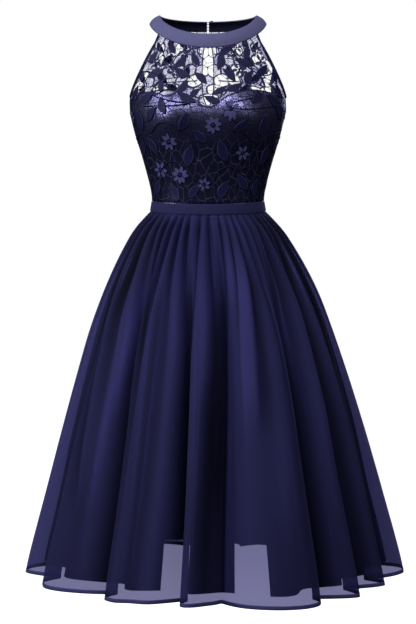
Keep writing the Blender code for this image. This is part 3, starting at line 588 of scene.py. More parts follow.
def charted_net(name, place, chart, meshes, seed):
    """A lace sheet: staggered meshes drawn flat, one unit each, with the chart's gaps cut
    out and edged by thread. It is rounded while flat and then laid on its surface."""
    mesh = bmesh.new()
    rows = len(chart)
    bmesh.ops.create_grid(mesh, x_segments=2 * meshes, y_segments=rows, size=0.5)
    for corner in mesh.verts:
        corner.co = ((corner.co.x + 0.5) * meshes, (0.5 - corner.co.y) * rows, 0.0)
    places = {corner: (round(2 * corner.co.x), round(corner.co.y)) for corner in mesh.verts}
    dissolved = []
    for edge in mesh.edges:
        (column, row), (other, below) = (places[corner] for corner in edge.verts)
        upright = column == other and 0 < column < 2 * meshes
        if upright and (column + min(row, below)) % 2:
            dissolved.append(edge)
    bmesh.ops.dissolve_edges(mesh, edges=dissolved, use_verts=False)
    gaps = []
    for row in range(rows):
        in_row = [face for face in mesh.faces if floor(face.calc_center_median().y) == row]
        in_row.sort(key=lambda face: face.calc_center_median().x)
        gaps += [face for face, mark in zip(in_row, chart[row]) if mark == "o"]
    draw = random.Random(seed)
    for corner, (column, row) in places.items():
        if 0 < column < 2 * meshes and 0 < row < rows:
            zigzag = LACE_ZIGZAG if (column + row) % 2 else -LACE_ZIGZAG
            corner.co.x += draw.uniform(-LACE_UNEVEN, LACE_UNEVEN)
            corner.co.y += draw.uniform(-LACE_UNEVEN, LACE_UNEVEN) - zigzag
    for face in mesh.faces:
        face.material_index = 0
    edged = bmesh.ops.inset_individual(mesh, faces=gaps, thickness=THREAD_BAR,
                                       use_even_offset=True)
    for face in edged["faces"]:
        face.material_index = 1
    bmesh.ops.delete(mesh, geom=gaps, context="FACES")
    bmesh.ops.subdivide_edges(mesh, edges=mesh.edges, cuts=1, use_grid_fill=True)
    flat = add_piece(name + "_flat", mesh)
    finer = flat.modifiers.new("finer", "SUBSURF")
    finer.levels = finer.render_levels = 2
    finer.boundary_smooth = "PRESERVE_CORNERS"
    evaluated = flat.evaluated_get(bpy.context.evaluated_depsgraph_get())
    mesh = bmesh.new()
    mesh.from_mesh(evaluated.to_mesh())
    evaluated.to_mesh_clear()
    bpy.data.objects.remove(flat, do_unlink=True)
    uv = mesh.loops.layers.uv.new("UVMap")
    for face in mesh.faces:
        for loop in face.loops:
            loop[uv].uv = (loop.vert.co.x * MESH_WIDE, -loop.vert.co.y * MESH_TALL)
    for corner in mesh.verts:
        corner.co = place(corner.co.x, corner.co.y)
    bmesh.ops.recalc_face_normals(mesh, faces=mesh.faces)
    piece = add_piece(name, mesh)
    thicken(piece, LACE_THICK)
    return piece


def thread_look(name, colour, roughness=0.55):
    """Twisted thread, as in cords, edgings and satin-stitched leaves."""
    look, nodes = new_look(name, roughness, Specular_IOR_Level=0.12,
                           Specular_Tint=(0.7, 0.7, 1.0, 1.0))
    place, u, v = cloth_place(nodes)
    stitches = (u + v * TWIST_SLANT).waves(TWIST_PITCH)
    speckle = noise(nodes, place, 900.0)
    shade = stitches * 0.5 + speckle * 0.5
    connect(look, Base_Color=shade.between(tone(colour, 0.6), tone(colour, 1.4)),
            Normal=bump(nodes, stitches, 0.00012))
    return look


def let_through(look, nodes, share, tint):
    """Let a share of the light through a material's surface, tinted."""
    surface = look.node_tree.nodes["Material Output"].inputs["Surface"]
    solid = Socket(nodes.tree, surface.links[0].from_socket)
    clear = nodes.node("ShaderNodeBsdfTransparent", (), {"Color": (*tint, 1.0)})
    mixed = nodes.node("ShaderNodeMixShader", (), {0: share, 1: solid, 2: clear})
    nodes.tree.links.new(mixed.link, surface)


def net_look():
    """Tulle whose fine irregular cells are edged by thread, under a larger upright
    crackle of heavier thread."""
    look, nodes = new_look("net", 0.7, Specular_IOR_Level=0.08)
    place, u, v = cloth_place(nodes)
    spot = nodes.node("ShaderNodeMapping", (), {0: place, 3: (1.0, CELL_STRETCH, 1.0)})
    wander = nodes.node("ShaderNodeTexNoise", (), {"Vector": place, "Scale": 130.0,
                                                   "Detail": 1.0}, output=1)
    bent = nodes.node("ShaderNodeMix", {"data_type": "VECTOR"},
                      {0: CELL_WANDER, 4: spot, 5: wander}, output=1)

    def cells(scale, width, randomness):
        edge = nodes.node("ShaderNodeTexVoronoi", {"feature": "DISTANCE_TO_EDGE",
                                                   "voronoi_dimensions": "2D"},
                          {"Vector": bent, "Scale": scale, "Randomness": randomness})
        return edge < width

    fine, crackle = cells(*FINE_CELLS), cells(*CRACKLE_CELLS)
    speckle = noise(nodes, place, 800.0)
    yoke = nodes.node("ShaderNodeMapRange", (), {0: v, 1: CLOSER_TO, 2: CLOSER_FROM,
                                                 3: CLOSER_SHARE})
    light = nodes.maths("MAXIMUM", speckle * yoke, crackle * (1.0 - yoke))
    connect(look, Base_Color=light.between(DARK_THREAD, NET_THREAD))
    let_through(look, nodes, (1.0 - crackle) * (yoke * 0.5 + 0.5) * NET_SHEER, NET_TINT)
    open_tulle = nodes.maths("MAXIMUM", fine, crackle)
    let_through(look, nodes, (1.0 - open_tulle) * yoke * OPEN_SHEER, OPEN_TINT)
    return look


net = net_look()
thread = thread_look("lace_thread", NET_THREAD)
for node, place, chart, meshes, seed in (
        ("bodice_front_lace", front_lace, FRONT_CHART, FRONT_MESHES, 3),
        ("bodice_back_lace_left", left_back_lace, BACK_CHART, BACK_MESHES, 5),
        ("bodice_back_lace_right", right_back_lace, BACK_CHART, BACK_MESHES, 8)):
    piece = charted_net(node, place, chart, meshes, seed)
    wear(piece, net, [node])
    piece.data.materials.append(thread)

# ------------------------------------------------------------------ leaves and flowers
# Motifs worked on the net: satin-stitched leaves with a raised midrib and a corded edge,
# flowers of separate petals round a dark middle, and the corded stems that join them.
# In the yoke some flowers are worked in half stitch, which lets light through.

# Rise of the motifs' middle over the lace's, and of a flower's middle over theirs
MOTIF_RISE, MIDDLE_RISE = 0.0007, 0.0012
LEAF_THICK = 0.0005
# How low a leaf is broadest, 1 for its middle, its least half width, how far it may bend,
# and how pointed leaves and petals are
LEAF_LOW, LEAF_LEAST, LEAF_BEND = 0.88, 0.0003, 0.1
LEAF_POINT, PETAL_POINT, PETAL_STRAY = 1.1, 0.8, 8
LEAF, CORD = (0.0068, 0.0066, 0.032), (0.020, 0.020, 0.066)
PETAL = (0.044, 0.044, 0.128)
HALF_PITCH, HALF_SLANT = 0.0013, 0.4      # of the rows of half stitch
# As shares of a flower: a petal's length, width and distance, and the middle's radius
PETAL_LONG, PETAL_WIDE, PETAL_AWAY, MIDDLE = 0.38, 0.21, 0.30, 0.09
STEM_RADIUS, STEM_THINNER, BAR_RADIUS = 0.00125, 0.45, 0.0003
# In a gap: how far a knot strays from the middle and its arms from even angles, in
# degrees, the arms' length and how far they bend
KNOT_STRAY, ARM_STRAY, ARM, ARM_BEND = 0.18, 25, 0.64, 0.06
# Across a leaf: places of its columns as shares of its half width, and their rises
LEAF_COLUMNS = (-1.0, -0.80, -0.40, 0.0, 0.40, 0.80, 1.0)
LEAF_RISES = (0.0006, 0.0006, 0.0001, 0.0007, 0.0001, 0.0006, 0.0006)
# Leaves of the front: chart column and row of the middle, turn from upright, length, width
FRONT_LEAVES = (
    (0.9, 1.6, 30, 0.030, 0.014), (2.6, 0.6, -48, 0.030, 0.013), (4.3, 1.6, 34, 0.038, 0.016),
    (5.7, 1.3, -34, 0.032, 0.014), (2.3, 3.0, 62, 0.040, 0.017), (3.6, 4.2, -24, 0.028, 0.013),
    (4.8, 2.7, -62, 0.038, 0.016), (5.4, 4.2, 22, 0.036, 0.016), (0.5, 3.3, -14, 0.028, 0.013),
    (8.2, 1.5, 16, 0.038, 0.016), (9.2, 0.5, 66, 0.034, 0.014), (10.5, 1.8, -58, 0.040, 0.017),
    (11.6, 1.0, 24, 0.032, 0.014), (12.1, 2.7, 60, 0.038, 0.016), (13.3, 3.4, -12, 0.028, 0.013),
    (10.3, 3.4, 34, 0.036, 0.016), (8.6, 3.0, -38, 0.036, 0.016), (8.7, 4.2, 66, 0.036, 0.016),
    (1.2, 5.2, 30, 0.038, 0.017), (3.0, 5.5, 58, 0.044, 0.019), (4.3, 6.2, -30, 0.036, 0.016),
    (5.8, 5.2, -58, 0.040, 0.018), (10.0, 5.3, 52, 0.042, 0.018), (11.5, 5.8, -60, 0.044, 0.019),
    (12.7, 4.9, -26, 0.036, 0.016), (7.2, 5.4, -70, 0.032, 0.014), (0.8, 6.8, -20, 0.036, 0.016),
    (2.2, 7.6, -22, 0.042, 0.019), (3.4, 7.0, 40, 0.038, 0.017), (5.5, 7.4, 18, 0.040, 0.018),
    (1.5, 9.2, 16, 0.042, 0.019), (2.9, 8.9, -40, 0.040, 0.018), (5.7, 9.3, 12, 0.046, 0.020),
    (4.2, 11.4, -30, 0.040, 0.018), (6.5, 8.2, -46, 0.036, 0.016), (8.0, 9.0, -16, 0.046, 0.020),
    (9.0, 7.6, 54, 0.040, 0.018), (10.5, 7.7, 20, 0.044, 0.020), (12.0, 7.0, -34, 0.042, 0.019),
    (11.4, 9.4, 26, 0.044, 0.019), (12.9, 9.2, -18, 0.038, 0.017), (9.8, 10.8, -34, 0.042, 0.018),
    (8.2, 11.2, 28, 0.040, 0.018), (11.2, 11.2, 12, 0.036, 0.016), (12.9, 11.0, -20, 0.034, 0.015),
    (2.4, 11.2, 24, 0.036, 0.016), (1.0, 10.8, -14, 0.034, 0.015), (5.9, 11.3, 36, 0.034, 0.015),
    (6.4, 3.3, -48, 0.034, 0.015), (7.7, 4.5, 58, 0.032, 0.014), (6.3, 4.9, 40, 0.030, 0.013),
)
# Flowers of the front: chart column and row, petals, distance across, turn
FRONT_FLOWERS = (
    (8.3, 6.5, 8, 0.037, 10), (7.3, 7.6, 8, 0.034, 40), (4.4, 8.6, 7, 0.035, 0),
    (3.2, 10.2, 6, 0.034, 30), (4.9, 10.4, 8, 0.035, 5), (9.4, 9.2, 6, 0.030, 35),
    (6.7, 10.9, 6, 0.026, 15), (0.9, 7.7, 6, 0.028, 25), (13.1, 7.6, 6, 0.028, 12),
)
YOKE_FLOWERS = (
    (1.9, 2.2, 5, 0.026, 20), (3.5, 2.3, 6, 0.028, 10), (9.7, 2.5, 6, 0.030, 30),
    (5.1, 0.3, 5, 0.024, 0), (12.7, 1.2, 5, 0.025, 40), (10.5, 0.4, 5, 0.024, 15),
)
# Stems of the front, each through its chart places
FRONT_STEMS = (
    ((0.0, 3.0), (1.2, 2.9), (2.4, 3.1), (3.4, 3.5), (4.6, 3.3), (5.6, 3.2), (6.2, 3.9)),
    ((4.2, 0.2), (4.7, 1.2), (4.9, 2.2), (4.6, 3.2)),
    ((3.3, 3.5), (3.0, 4.4), (3.7, 5.2), (4.8, 5.7), (6.0, 5.9)),
    ((14.0, 2.8), (12.8, 3.2), (11.6, 3.2), (10.8, 2.5), (9.8, 1.6), (8.8, 1.3), (8.0, 2.2)),
    ((9.8, 0.2), (9.9, 0.9), (10.2, 1.9)),
    ((11.6, 3.2), (11.4, 4.2), (10.6, 4.9), (9.4, 5.5), (8.0, 5.9)),
    ((0.6, 8.9), (1.8, 8.4), (3.0, 8.2), (3.9, 7.6), (4.9, 7.6), (5.8, 8.2), (6.2, 9.2)),
    ((2.2, 12.0), (2.9, 11.0), (3.9, 9.8), (4.9, 9.7), (5.7, 10.2), (6.0, 11.2), (5.7, 12.0)),
    ((13.4, 8.4), (12.2, 8.4), (11.2, 8.4), (10.2, 8.6), (9.2, 8.0), (8.6, 7.4), (7.8, 7.0)),
    ((11.2, 12.0), (10.9, 10.9), (10.3, 10.0), (9.2, 10.1), (8.4, 9.9), (7.5, 10.4), (7.2, 12.0)),
    ((8.0, 5.9), (8.4, 6.4), (9.6, 6.6), (10.8, 6.5), (11.8, 6.4), (12.9, 6.6)),
    ((6.0, 5.9), (5.0, 6.2), (3.8, 6.3), (2.6, 6.5), (1.4, 6.4)),
)
# The same for one back, from the centre back outwards; the other back mirrors it
BACK_LEAVES = (
    (1.0, 0.8, -24, 0.030, 0.013), (2.4, 1.0, 36, 0.030, 0.013), (3.8, 0.9, -30, 0.028, 0.012),
    (5.1, 1.2, 20, 0.027, 0.012), (0.8, 2.4, 22, 0.030, 0.014), (3.6, 2.4, -52, 0.034, 0.015),
    (1.4, 3.6, -30, 0.034, 0.015), (3.5, 4.0, 40, 0.036, 0.016), (5.4, 3.6, -10, 0.028, 0.013),
    (2.2, 5.2, 56, 0.036, 0.016), (4.6, 5.4, -34, 0.036, 0.016), (1.0, 6.4, -12, 0.034, 0.015),
    (3.2, 6.6, 26, 0.038, 0.017), (5.2, 7.0, -22, 0.038, 0.017), (1.6, 7.9, 30, 0.040, 0.018),
    (4.0, 8.2, -26, 0.040, 0.018), (2.2, 9.7, -34, 0.036, 0.016), (4.8, 9.8, 24, 0.036, 0.016),
)
BACK_FLOWERS = ((3.0, 7.4, 6, 0.027, 10), (1.0, 9.2, 7, 0.028, 20), (3.5, 9.7, 6, 0.027, 0),
                (5.3, 8.5, 6, 0.026, 30))
BACK_YOKE_FLOWERS = ((1.9, 1.9, 5, 0.024, 0), (4.9, 2.3, 5, 0.026, 20), (2.5, 3.5, 5, 0.025, 40))
BACK_STEMS = (
    ((0.3, 1.4), (1.4, 1.6), (2.6, 2.0), (3.0, 3.0), (4.2, 3.2), (5.4, 2.8)),
    ((0.3, 4.4), (1.6, 4.5), (2.8, 4.6), (4.0, 4.9), (5.4, 4.6)),
    ((0.3, 7.2), (1.6, 7.0), (2.6, 7.4), (3.6, 7.3), (4.6, 7.8), (5.8, 7.7)),
    ((1.6, 11.0), (1.7, 9.9), (2.6, 9.0), (4.0, 9.0), (4.4, 10.2), (4.2, 11.0)),
)


def smooth_route(points, pieces):
    """A smooth route through points, with a number of pieces between each two."""
    ends = [2 * points[0] - points[1], *points, 2 * points[-1] - points[-2]]
    route = []
    for k in range(len(points) - 1):
        a, b, c, d = ends[k:k + 4]
        for step in even(0.0, 1.0, pieces)[:-1]:
            route.append(0.5 * (2 * b + (c - a) * step
                                + (2 * a - 5 * b + 4 * c - d) * step ** 2
                                + (3 * b - 3 * c + d - a) * step ** 3))
    return route + [points[-1]]


def lay_on(place, column, row, turn, corners, shapes):
    """Lay corners on the lace, each at a flat place and rise in metres that are set round
    a chart place and turned."""
    step = 0.05
    across = (place(column + step, row) - place(column - step, row)) / (2 * step)
    down = (place(column, row + step) - place(column, row - step)) / (2 * step)
    sideways = across.normalized()
    upright = sideways.cross(across.cross(down)).normalized()
    if upright.z < 0.0:
        upright = -upright
    angle = radians(turn)
    solve = np.linalg.pinv(np.array([across[:], down[:]]).T)
    for corner, (x, y, rise) in zip(corners, shapes):
        point = ((x * cos(angle) + y * sin(angle)) * sideways
                 + (y * cos(angle) - x * sin(angle)) * upright)
        columns, rows = (float(part) for part in solve @ np.array(point[:]))
        corner.co = place(column + columns, row + rows, MOTIF_RISE + rise)


def add_leaf(mesh, looks, length, width, bend, point, steps=9):
    """Add a flat leaf or petal to a mesh: its corners, and their places and rises. Its
    two outer strips get the second of the looks."""
    made = bmesh.ops.create_grid(mesh, x_segments=6, y_segments=steps, size=1.0)
    corners, shapes = made["verts"], []
    columns = {corner: round((corner.co.x + 1) * 3) for corner in corners}
    for corner in corners:
        along = (corner.co.y + 1) / 2
        round_out = max(0.0, sin(pi * along ** LEAF_LOW)) ** point
        half = max(width / 2 * round_out, LEAF_LEAST)
        shapes.append((LEAF_COLUMNS[columns[corner]] * half + bend * length * sin(pi * along),
                       (along - 0.5) * length, LEAF_RISES[columns[corner]]))
    uv = mesh.loops.layers.uv.verify()
    for face in {face for corner in corners for face in corner.link_faces}:
        outer = {0, 6} & {columns[corner] for corner in face.verts}
        face.material_index = looks[1 if outer else 0]
        for loop in face.loops:
            loop[uv].uv = (loop.vert.co.x * width / 2, loop.vert.co.y * length / 2)
    return corners, shapes


def lay_motifs(name, place, leaves, flowers, yoke_flowers, seed):
    """Leaves and flowers on one lace sheet, as a single mesh with four threads."""
    mesh = bmesh.new()
    draw = random.Random(seed)
    for column, row, turn, length, width in leaves:
        bend = draw.uniform(-LEAF_BEND, LEAF_BEND)
        corners, shapes = add_leaf(mesh, (0, 1), length, width, bend, LEAF_POINT)
        lay_on(place, column, row, turn, corners, shapes)
    for worked, look in ((flowers, 2), (yoke_flowers, 3)):
        for column, row, petals, size, turn in worked:
            for petal in range(petals):
                aim = turn + 360.0 * petal / petals + draw.uniform(-PETAL_STRAY, PETAL_STRAY)
                corners, shapes = add_leaf(mesh, (look, look), size * PETAL_LONG,
                                           size * PETAL_WIDE, 0.0, PETAL_POINT, 5)
                shapes = [(x, y + size * PETAL_AWAY, rise) for x, y, rise in shapes]
                lay_on(place, column, row, aim, corners, shapes)
            made = bmesh.ops.create_circle(mesh, cap_ends=True, segments=10,
                                           radius=size * MIDDLE)
            shapes = [(corner.co.x, corner.co.y, MIDDLE_RISE) for corner in made["verts"]]
            lay_on(place, column, row, 0, made["verts"], shapes)
    piece = add_piece(name, mesh)
    thicken(piece, LEAF_THICK)
    return piece


def add_cords(name, routes, radius, thinner=0.0):
    """Cords through routes of points, as one curve. Each gets thinner towards its end."""
    curve = bpy.data.curves.new(name, "CURVE")
    curve.dimensions = "3D"
    curve.bevel_depth = radius
    curve.bevel_resolution = 1
    curve.use_fill_caps = True
    for route in routes:
        run = curve.splines.new("POLY")
        run.points.add(len(route) - 1)
        run.use_smooth = True
        for k, (spot, point) in enumerate(zip(run.points, route)):
            spot.co = (*point, 1.0)
            spot.radius = 1.0 - thinner * k / len(route)
    return add_object(name, curve)


def routes_on(place, routes):
    """Smooth routes on a lace sheet, each through its chart places."""
    return [[place(column, row, MOTIF_RISE)
             for column, row in smooth_route([Vector(spot) for spot in route], 6)]
            for route in routes]


def gap_threads(chart, seed):
    """Threads that cross the chart's gaps, three from a knot in each, through chart
    places."""
    draw = random.Random(seed)
    routes = []
    for row, marks in enumerate(chart):
        for k, mark in enumerate(marks):
            if mark == ".":
                continue
            knot = Vector((k + 0.5 * (row % 2 == 0) + draw.uniform(-KNOT_STRAY, KNOT_STRAY),
                           row + 0.5 + draw.uniform(-KNOT_STRAY, KNOT_STRAY)))
            turn = draw.uniform(0.0, 360.0)
            for arm in range(3):
                aim = radians(turn + 120.0 * arm + draw.uniform(-ARM_STRAY, ARM_STRAY))
                end = knot + ARM * Vector((sin(aim), cos(aim)))
                bend = Vector([draw.uniform(-ARM_BEND, ARM_BEND) for _ in range(2)])
                routes.append((knot, (knot + end) / 2 + bend, end))
    return routes


def half_stitch_look():
    """Open rows of stitches on the net, which let light through."""
    look, nodes = new_look("half_stitch", 0.6, Specular_IOR_Level=0.08)
    place, u, v = cloth_place(nodes)
    rows = (u + v * HALF_SLANT).waves(HALF_PITCH)
    connect(look, Base_Color=rows.between(THREAD, PETAL))
    let_through(look, nodes, 0.35 - rows * 0.25, NET_TINT)
    return look


leaf_look = thread_look("leaf_thread", LEAF, 0.5)
cord_look = thread_look("cord_thread", CORD, 0.5)
petal_look = thread_look("petal_thread", PETAL, 0.5)
half_stitch = half_stitch_look()
for node, place, motifs, stems, chart, seed in (
        ("bodice_front_lace", front_lace, (FRONT_LEAVES, FRONT_FLOWERS, YOKE_FLOWERS),
         FRONT_STEMS, FRONT_CHART, 11),
        ("bodice_back_lace_left", left_back_lace,
         (BACK_LEAVES, BACK_FLOWERS, BACK_YOKE_FLOWERS), BACK_STEMS, BACK_CHART, 12),
        ("bodice_back_lace_right", right_back_lace,
         (BACK_LEAVES, BACK_FLOWERS, BACK_YOKE_FLOWERS), BACK_STEMS, BACK_CHART, 13)):
    sewn_on = [lay_motifs(node + "_motifs", place, *motifs, seed),
               add_cords(node + "_stems", routes_on(place, stems), STEM_RADIUS, STEM_THINNER),
               add_cords(node + "_bars", routes_on(place, gap_threads(chart, seed)),
                         BAR_RADIUS)]
    for piece, look in zip(sewn_on, (leaf_look, leaf_look, thread)):
        sew_on(piece, look)
    for look in (cord_look, petal_look, half_stitch):
        sewn_on[0].data.materials.append(look)
    width, share = (0.460, 0.64) if node == "bodice_front_lace" else (0.200, 0.70)
    share * width * 0.318

# ------------------------------------------------------------------ collar
# A wide band of chiffon over firm interlining, folded in half lengthwise, turned and
# pressed flat, with a darker facing inside. The chiffon is painted lighter for light from
# above and sheen, and the facing is painted darker for shadow. It stands round the neck,
# open at the centre back. The lace is caught in its lower edge over a fine cord, whose
# dark line is partly painted shadow, and both edges are stitched.

COLLAR_THICK = 0.0024
COLLAR_GAP = 0.0030
# Painted light and shadow: the collar's chiffon is a lighter copy of the waistband's chiffon for
# light from above and sheen, and the facing is darker for the shade inside the collar
LIT_COLLAR_CHIFFON, SHADED_FACING = (0.078, 0.079, 0.172), (0.0030, 0.0030, 0.0140)
CREPE_WEAVE = 0.00055     # pitch of its threads
STITCH_THREAD = (0.120, 0.120, 0.250)
# Stitches of the edge seams: length, width, height, and their pitch
STITCH, STITCH_PITCH = (0.0022, 0.0005, 0.0004), 0.0030
EDGE_STITCHES = (0.92, 0.08)          # shares of the collar's width where they run
EDGING_RADIUS = 0.0007


def on_collar(angle, share, offset=0.0):
    """A point that far outside the collar's middle."""
    return outside(collar, angle, share, offset, steps=(0.5, 0.02))


def crepe_look(name, colour, on_cloth=True, roughness=0.8):
    """Chiffon over a firm backing: a fine, slightly crinkled plain weave."""
    look, nodes = new_look(name, roughness, Specular_IOR_Level=0.10, Sheen_Weight=0.08,
                           Sheen_Roughness=0.45, Sheen_Tint=(0.5, 0.5, 1.0, 1.0))
    place, u, v = cloth_place(nodes, on_cloth)
    weave = u.waves(CREPE_WEAVE) * v.waves(CREPE_WEAVE)
    crinkle = noise(nodes, place, 900.0, 3.0, (0.35, 1.0, 1.0))
    cloud = noise(nodes, place, 60.0, 2.0)
    shade = crinkle * 0.6 + cloud * 0.4
    connect(look, Base_Color=shade.between(tone(colour, 0.78), tone(colour, 1.20)),
            Normal=bump(nodes, weave * 0.6 + crinkle, 0.00009))
    return look


def add_grain(mesh, place, size):
    """Add a small rounded body to a mesh: a stitch, or a tooth of the zip."""
    bmesh.ops.create_uvsphere(mesh, u_segments=6, v_segments=4, radius=0.5,
                              matrix=place @ Matrix.Diagonal((*size, 1.0)))


def sew_row(mesh, route):
    """Add a row of stitches to a mesh, along a route of points and outward points."""
    points, outer = (np.array([pair[side][:] for pair in route]) for side in (0, 1))
    run = distances(points)
    for at in np.arange(STITCH_PITCH / 2, run[-1], STITCH_PITCH):
        ends = [Vector([np.interp(at + half, run, points[:, k]) for k in range(3)])
                for half in (-STITCH[0] / 2, STITCH[0] / 2)]
        out = Vector([np.interp(at, run, (outer - points)[:, k]) for k in range(3)])
        along = (ends[1] - ends[0]).normalized()
        axes = Matrix((along, out.cross(along).normalized(), out.normalized())).transposed()
        middle = Matrix.Translation((ends[0] + ends[1]) / 2)
        add_grain(mesh, middle @ axes.to_4x4(), STITCH)


def round_edges(piece, width, segments):
    """Round a piece's edges."""
    rounding = piece.modifiers.new("rounding", "BEVEL")
    rounding.width, rounding.segments, rounding.limit_method = width, segments, "ANGLE"


lit_collar_cloth = crepe_look("collar_chiffon", LIT_COLLAR_CHIFFON)
collar_end = beside_back(COLLAR_GAP / 2, COLLAR_UPPER[0])
collar_angles = even(-collar_end, collar_end, 200)
piece = cloth("collar", on_collar, collar_angles, even(1.0, 0.0, 10), COLLAR_THICK)
piece.modifiers["thickness"].material_offset = 1
round_edges(piece, 0.0008, 2)
wear(piece, lit_collar_cloth, ["collar"])
# The facing, in its painted-shadow colour
piece.data.materials.append(crepe_look("collar_facing_shaded", SHADED_FACING))
mesh = bmesh.new()
for share in EDGE_STITCHES:
    sew_row(mesh, [(on_collar(angle, share, COLLAR_THICK / 2),
                    on_collar(angle, share, COLLAR_THICK)) for angle in collar_angles])
stitching = add_piece("collar_stitching", mesh)
sew_on(stitching, crepe_look("stitch_thread", STITCH_THREAD, on_cloth=False))
# A real cord, whose dark colour also paints the shadow line under the collar's lower edge
edging_and_shadow = add_cords("collar_edging", [[on_collar(angle, 0.0, COLLAR_THICK / 4)
                                      for angle in collar_angles]], EDGING_RADIUS)
sew_on(edging_and_shadow, crepe_look("edging_cord_and_shadow", THREAD, on_cloth=False))

# ------------------------------------------------------------------ buttons
# Two small domed buttons covered in the collar's chiffon and sewn to its left end, and
# two loops of turned cord from its right end, which hold them.

BUTTON_X = 0.0068
BUTTON_SHARES = {"upper": 0.75, "lower": 0.26}    # of the collar's width
# A button's profile from its foot: radius, height
BUTTON_PROFILE = ((0.0, 0.0), (0.0016, 0.0), (0.0016, 0.0021), (0.0043, 0.0023),
                  (0.0045, 0.0031), (0.0034, 0.0042), (0.0, 0.0046))
# A loop: radius of its cord, half its width, and its start from the centre back
LOOP_RADIUS, LOOP_TURN, LOOP_REACH = 0.0006, 0.0026, 0.0045
BUTTON_GAP = COLLAR_THICK / 2 + SEAM

# Half the tone of the collar's chiffon, with part of its painted light
button_cloth = crepe_look("covered_button", tone(LIT_COLLAR_CHIFFON, 0.5), on_cloth=False)
loop_cloth = crepe_look("loop_chiffon", NET_THREAD, on_cloth=False)


def behind(x, share, offset):
    """A place outside the collar's back, that far from its middle."""
    half_width = mix(COLLAR_LOWER[0], COLLAR_UPPER[0], share)
    return on_collar(beside_back(x, half_width), share, offset)


for name, share in BUTTON_SHARES.items():
    foot = behind(BUTTON_X, share, BUTTON_GAP)
    upright = (foot - behind(BUTTON_X, share, 0.0)).to_track_quat("Z", "X")
    mesh = bmesh.new()
    corners = [mesh.verts.new((radius, 0.0, height)) for radius, height in BUTTON_PROFILE]
    for pair in zip(corners, corners[1:]):
        mesh.edges.new(pair)
    bmesh.ops.spin(mesh, geom=mesh.verts[:] + mesh.edges[:], cent=(0, 0, 0), axis=(0, 0, 1),
                   angle=2 * pi, steps=32, use_merge=True)
    bmesh.ops.remove_doubles(mesh, verts=mesh.verts, dist=0.00001)
    bmesh.ops.recalc_face_normals(mesh, faces=mesh.faces)
    bmesh.ops.transform(mesh, verts=mesh.verts,
                        matrix=Matrix.Translation(foot) @ upright.to_matrix().to_4x4())
    button = add_piece("button_" + name, mesh)
    round_edges(button, 0.0004, 3)
    wear(button, button_cloth, ["button_" + name])
    sides = even(-LOOP_REACH, BUTTON_X, 8)
    turns = [radians(turn) for turn in even(90.0, -90.0, 16)]
    route = [(x, LOOP_TURN) for x in sides[:-1]]
    route += [(BUTTON_X + LOOP_TURN * cos(turn), LOOP_TURN * sin(turn)) for turn in turns]
    route += [(x, -LOOP_TURN) for x in sides[-2::-1]]
    loop = add_cords("loop_" + name, [[behind(x, share + up / COLLAR_WIDTH,
                                              BUTTON_GAP + LOOP_RADIUS) for x, up in route]],
                     LOOP_RADIUS)
    wear(loop, loop_cloth, ["loop_" + name])

# ------------------------------------------------------------------ waistband
# A straight band of the same chiffon, doubled, with the lace and the gathered skirt sewn
# into its edges. It dips a little in front and is open at the back, over the zip.

BAND_THICK = 0.0020
WAIST_WIDTH, BAND_BULGE = 0.0208, 0.0004
BAND_CHIFFON = (0.0128, 0.0132, 0.055)


def waistband(angle, down):
    """Middle of the waistband."""
    z = waist_top(angle) - SEAM - down * (WAIST_WIDTH - 2 * SEAM)
    return outside(body, angle, z, BAND_BULGE * sin(pi * down))


band_cloth = crepe_look("band_chiffon", BAND_CHIFFON)
band_end = beside_back(BACK_HALF_GAP, read(BODICE, HALF_WIDTH, WAIST_TOP))
piece = cloth("waistband", waistband, even(-band_end, band_end, 200), even(0.0, 1.0, 6),
              BAND_THICK)
round_edges(piece, 0.0007, 2)
wear(piece, band_cloth, ["waistband"])

# ------------------------------------------------------------------ bindings
# Narrow bias strips of chiffon, turned over the raw edges of the armholes and the keyhole
# and stitched down. They run from under the collar: round each arm to its back, and down
# both sides of the keyhole to the zip.

BINDING_END = 0.0014      # from the lace's top to its end under the collar
UNDERARM_CROWD = 1.4      # how its points crowd towards the underarm
KEYHOLE_RADIUS, KEYHOLE_END = 0.0012, -0.158
BINDING_CHIFFON = (0.0110, 0.0110, 0.042)

binding_cloth = crepe_look("binding_chiffon", BINDING_CHIFFON, on_cloth=False)
armhole = []
for side, middle, towards in (("front", 0.0, 1), ("back", 180.0, -1)):
    top = sewn_under_collar(middle + towards * ATTACH[side]).z - BINDING_END
    heights = [mix(UNDERARM, top, step ** UNDERARM_CROWD) for step in even(0.0, 1.0, 40)]
    run = [lace(armhole_angle(side, z), z) for z in heights]
    armhole = run[:0:-1] if side == "front" else armhole + run
top = sewn_under_collar(180.0).z - BINDING_END
keyhole = [lace(beside_back(read(KEYHOLE, 1, z), read(BODICE, HALF_WIDTH, z)), z)
           for z in even(top, KEYHOLE_END, 40)]
for side, sign in (("left", 1.0), ("right", -1.0)):
    for name, route, radius in (("armhole_binding_", armhole, BINDING_RADIUS),
                                ("keyhole_binding_", keyhole, KEYHOLE_RADIUS)):
        piece = add_cords(name + side, [[Vector((sign * point.x, point.y, point.z))
                                         for point in route]], radius)
        wear(piece, binding_cloth, [name + side])

# ------------------------------------------------------------------ skirt lining
# The skirt's satin lining, in three panels, which follows the chiffon's folds loosely.
# Its hem is shorter than the chiffon's, and steps up in two places in front.

# Skirt over the tops of its folds: fall below the waistband, half width, front, back
SKIRT = (
    (0.000, 0.1108, 0.0903, 0.0846),
    (0.018, 0.1262, 0.1030, 0.0985),
    (0.047, 0.1490, 0.1240, 0.1200),
    (0.109, 0.1848, 0.1580, 0.1540),
    (0.170, 0.2118, 0.1860, 0.1810),
    (0.294, 0.2538, 0.2320, 0.2260),
    (0.417, 0.2906, 0.2690, 0.2630),
    (0.541, 0.3248, 0.3020, 0.2960),
    (0.6645, 0.3576, 0.3280, 0.3220),
    (0.7185, 0.3670, 0.3350, 0.3300),
)
SKIRT_SWING = 0.014       # how far the hem swings to the wearer's left
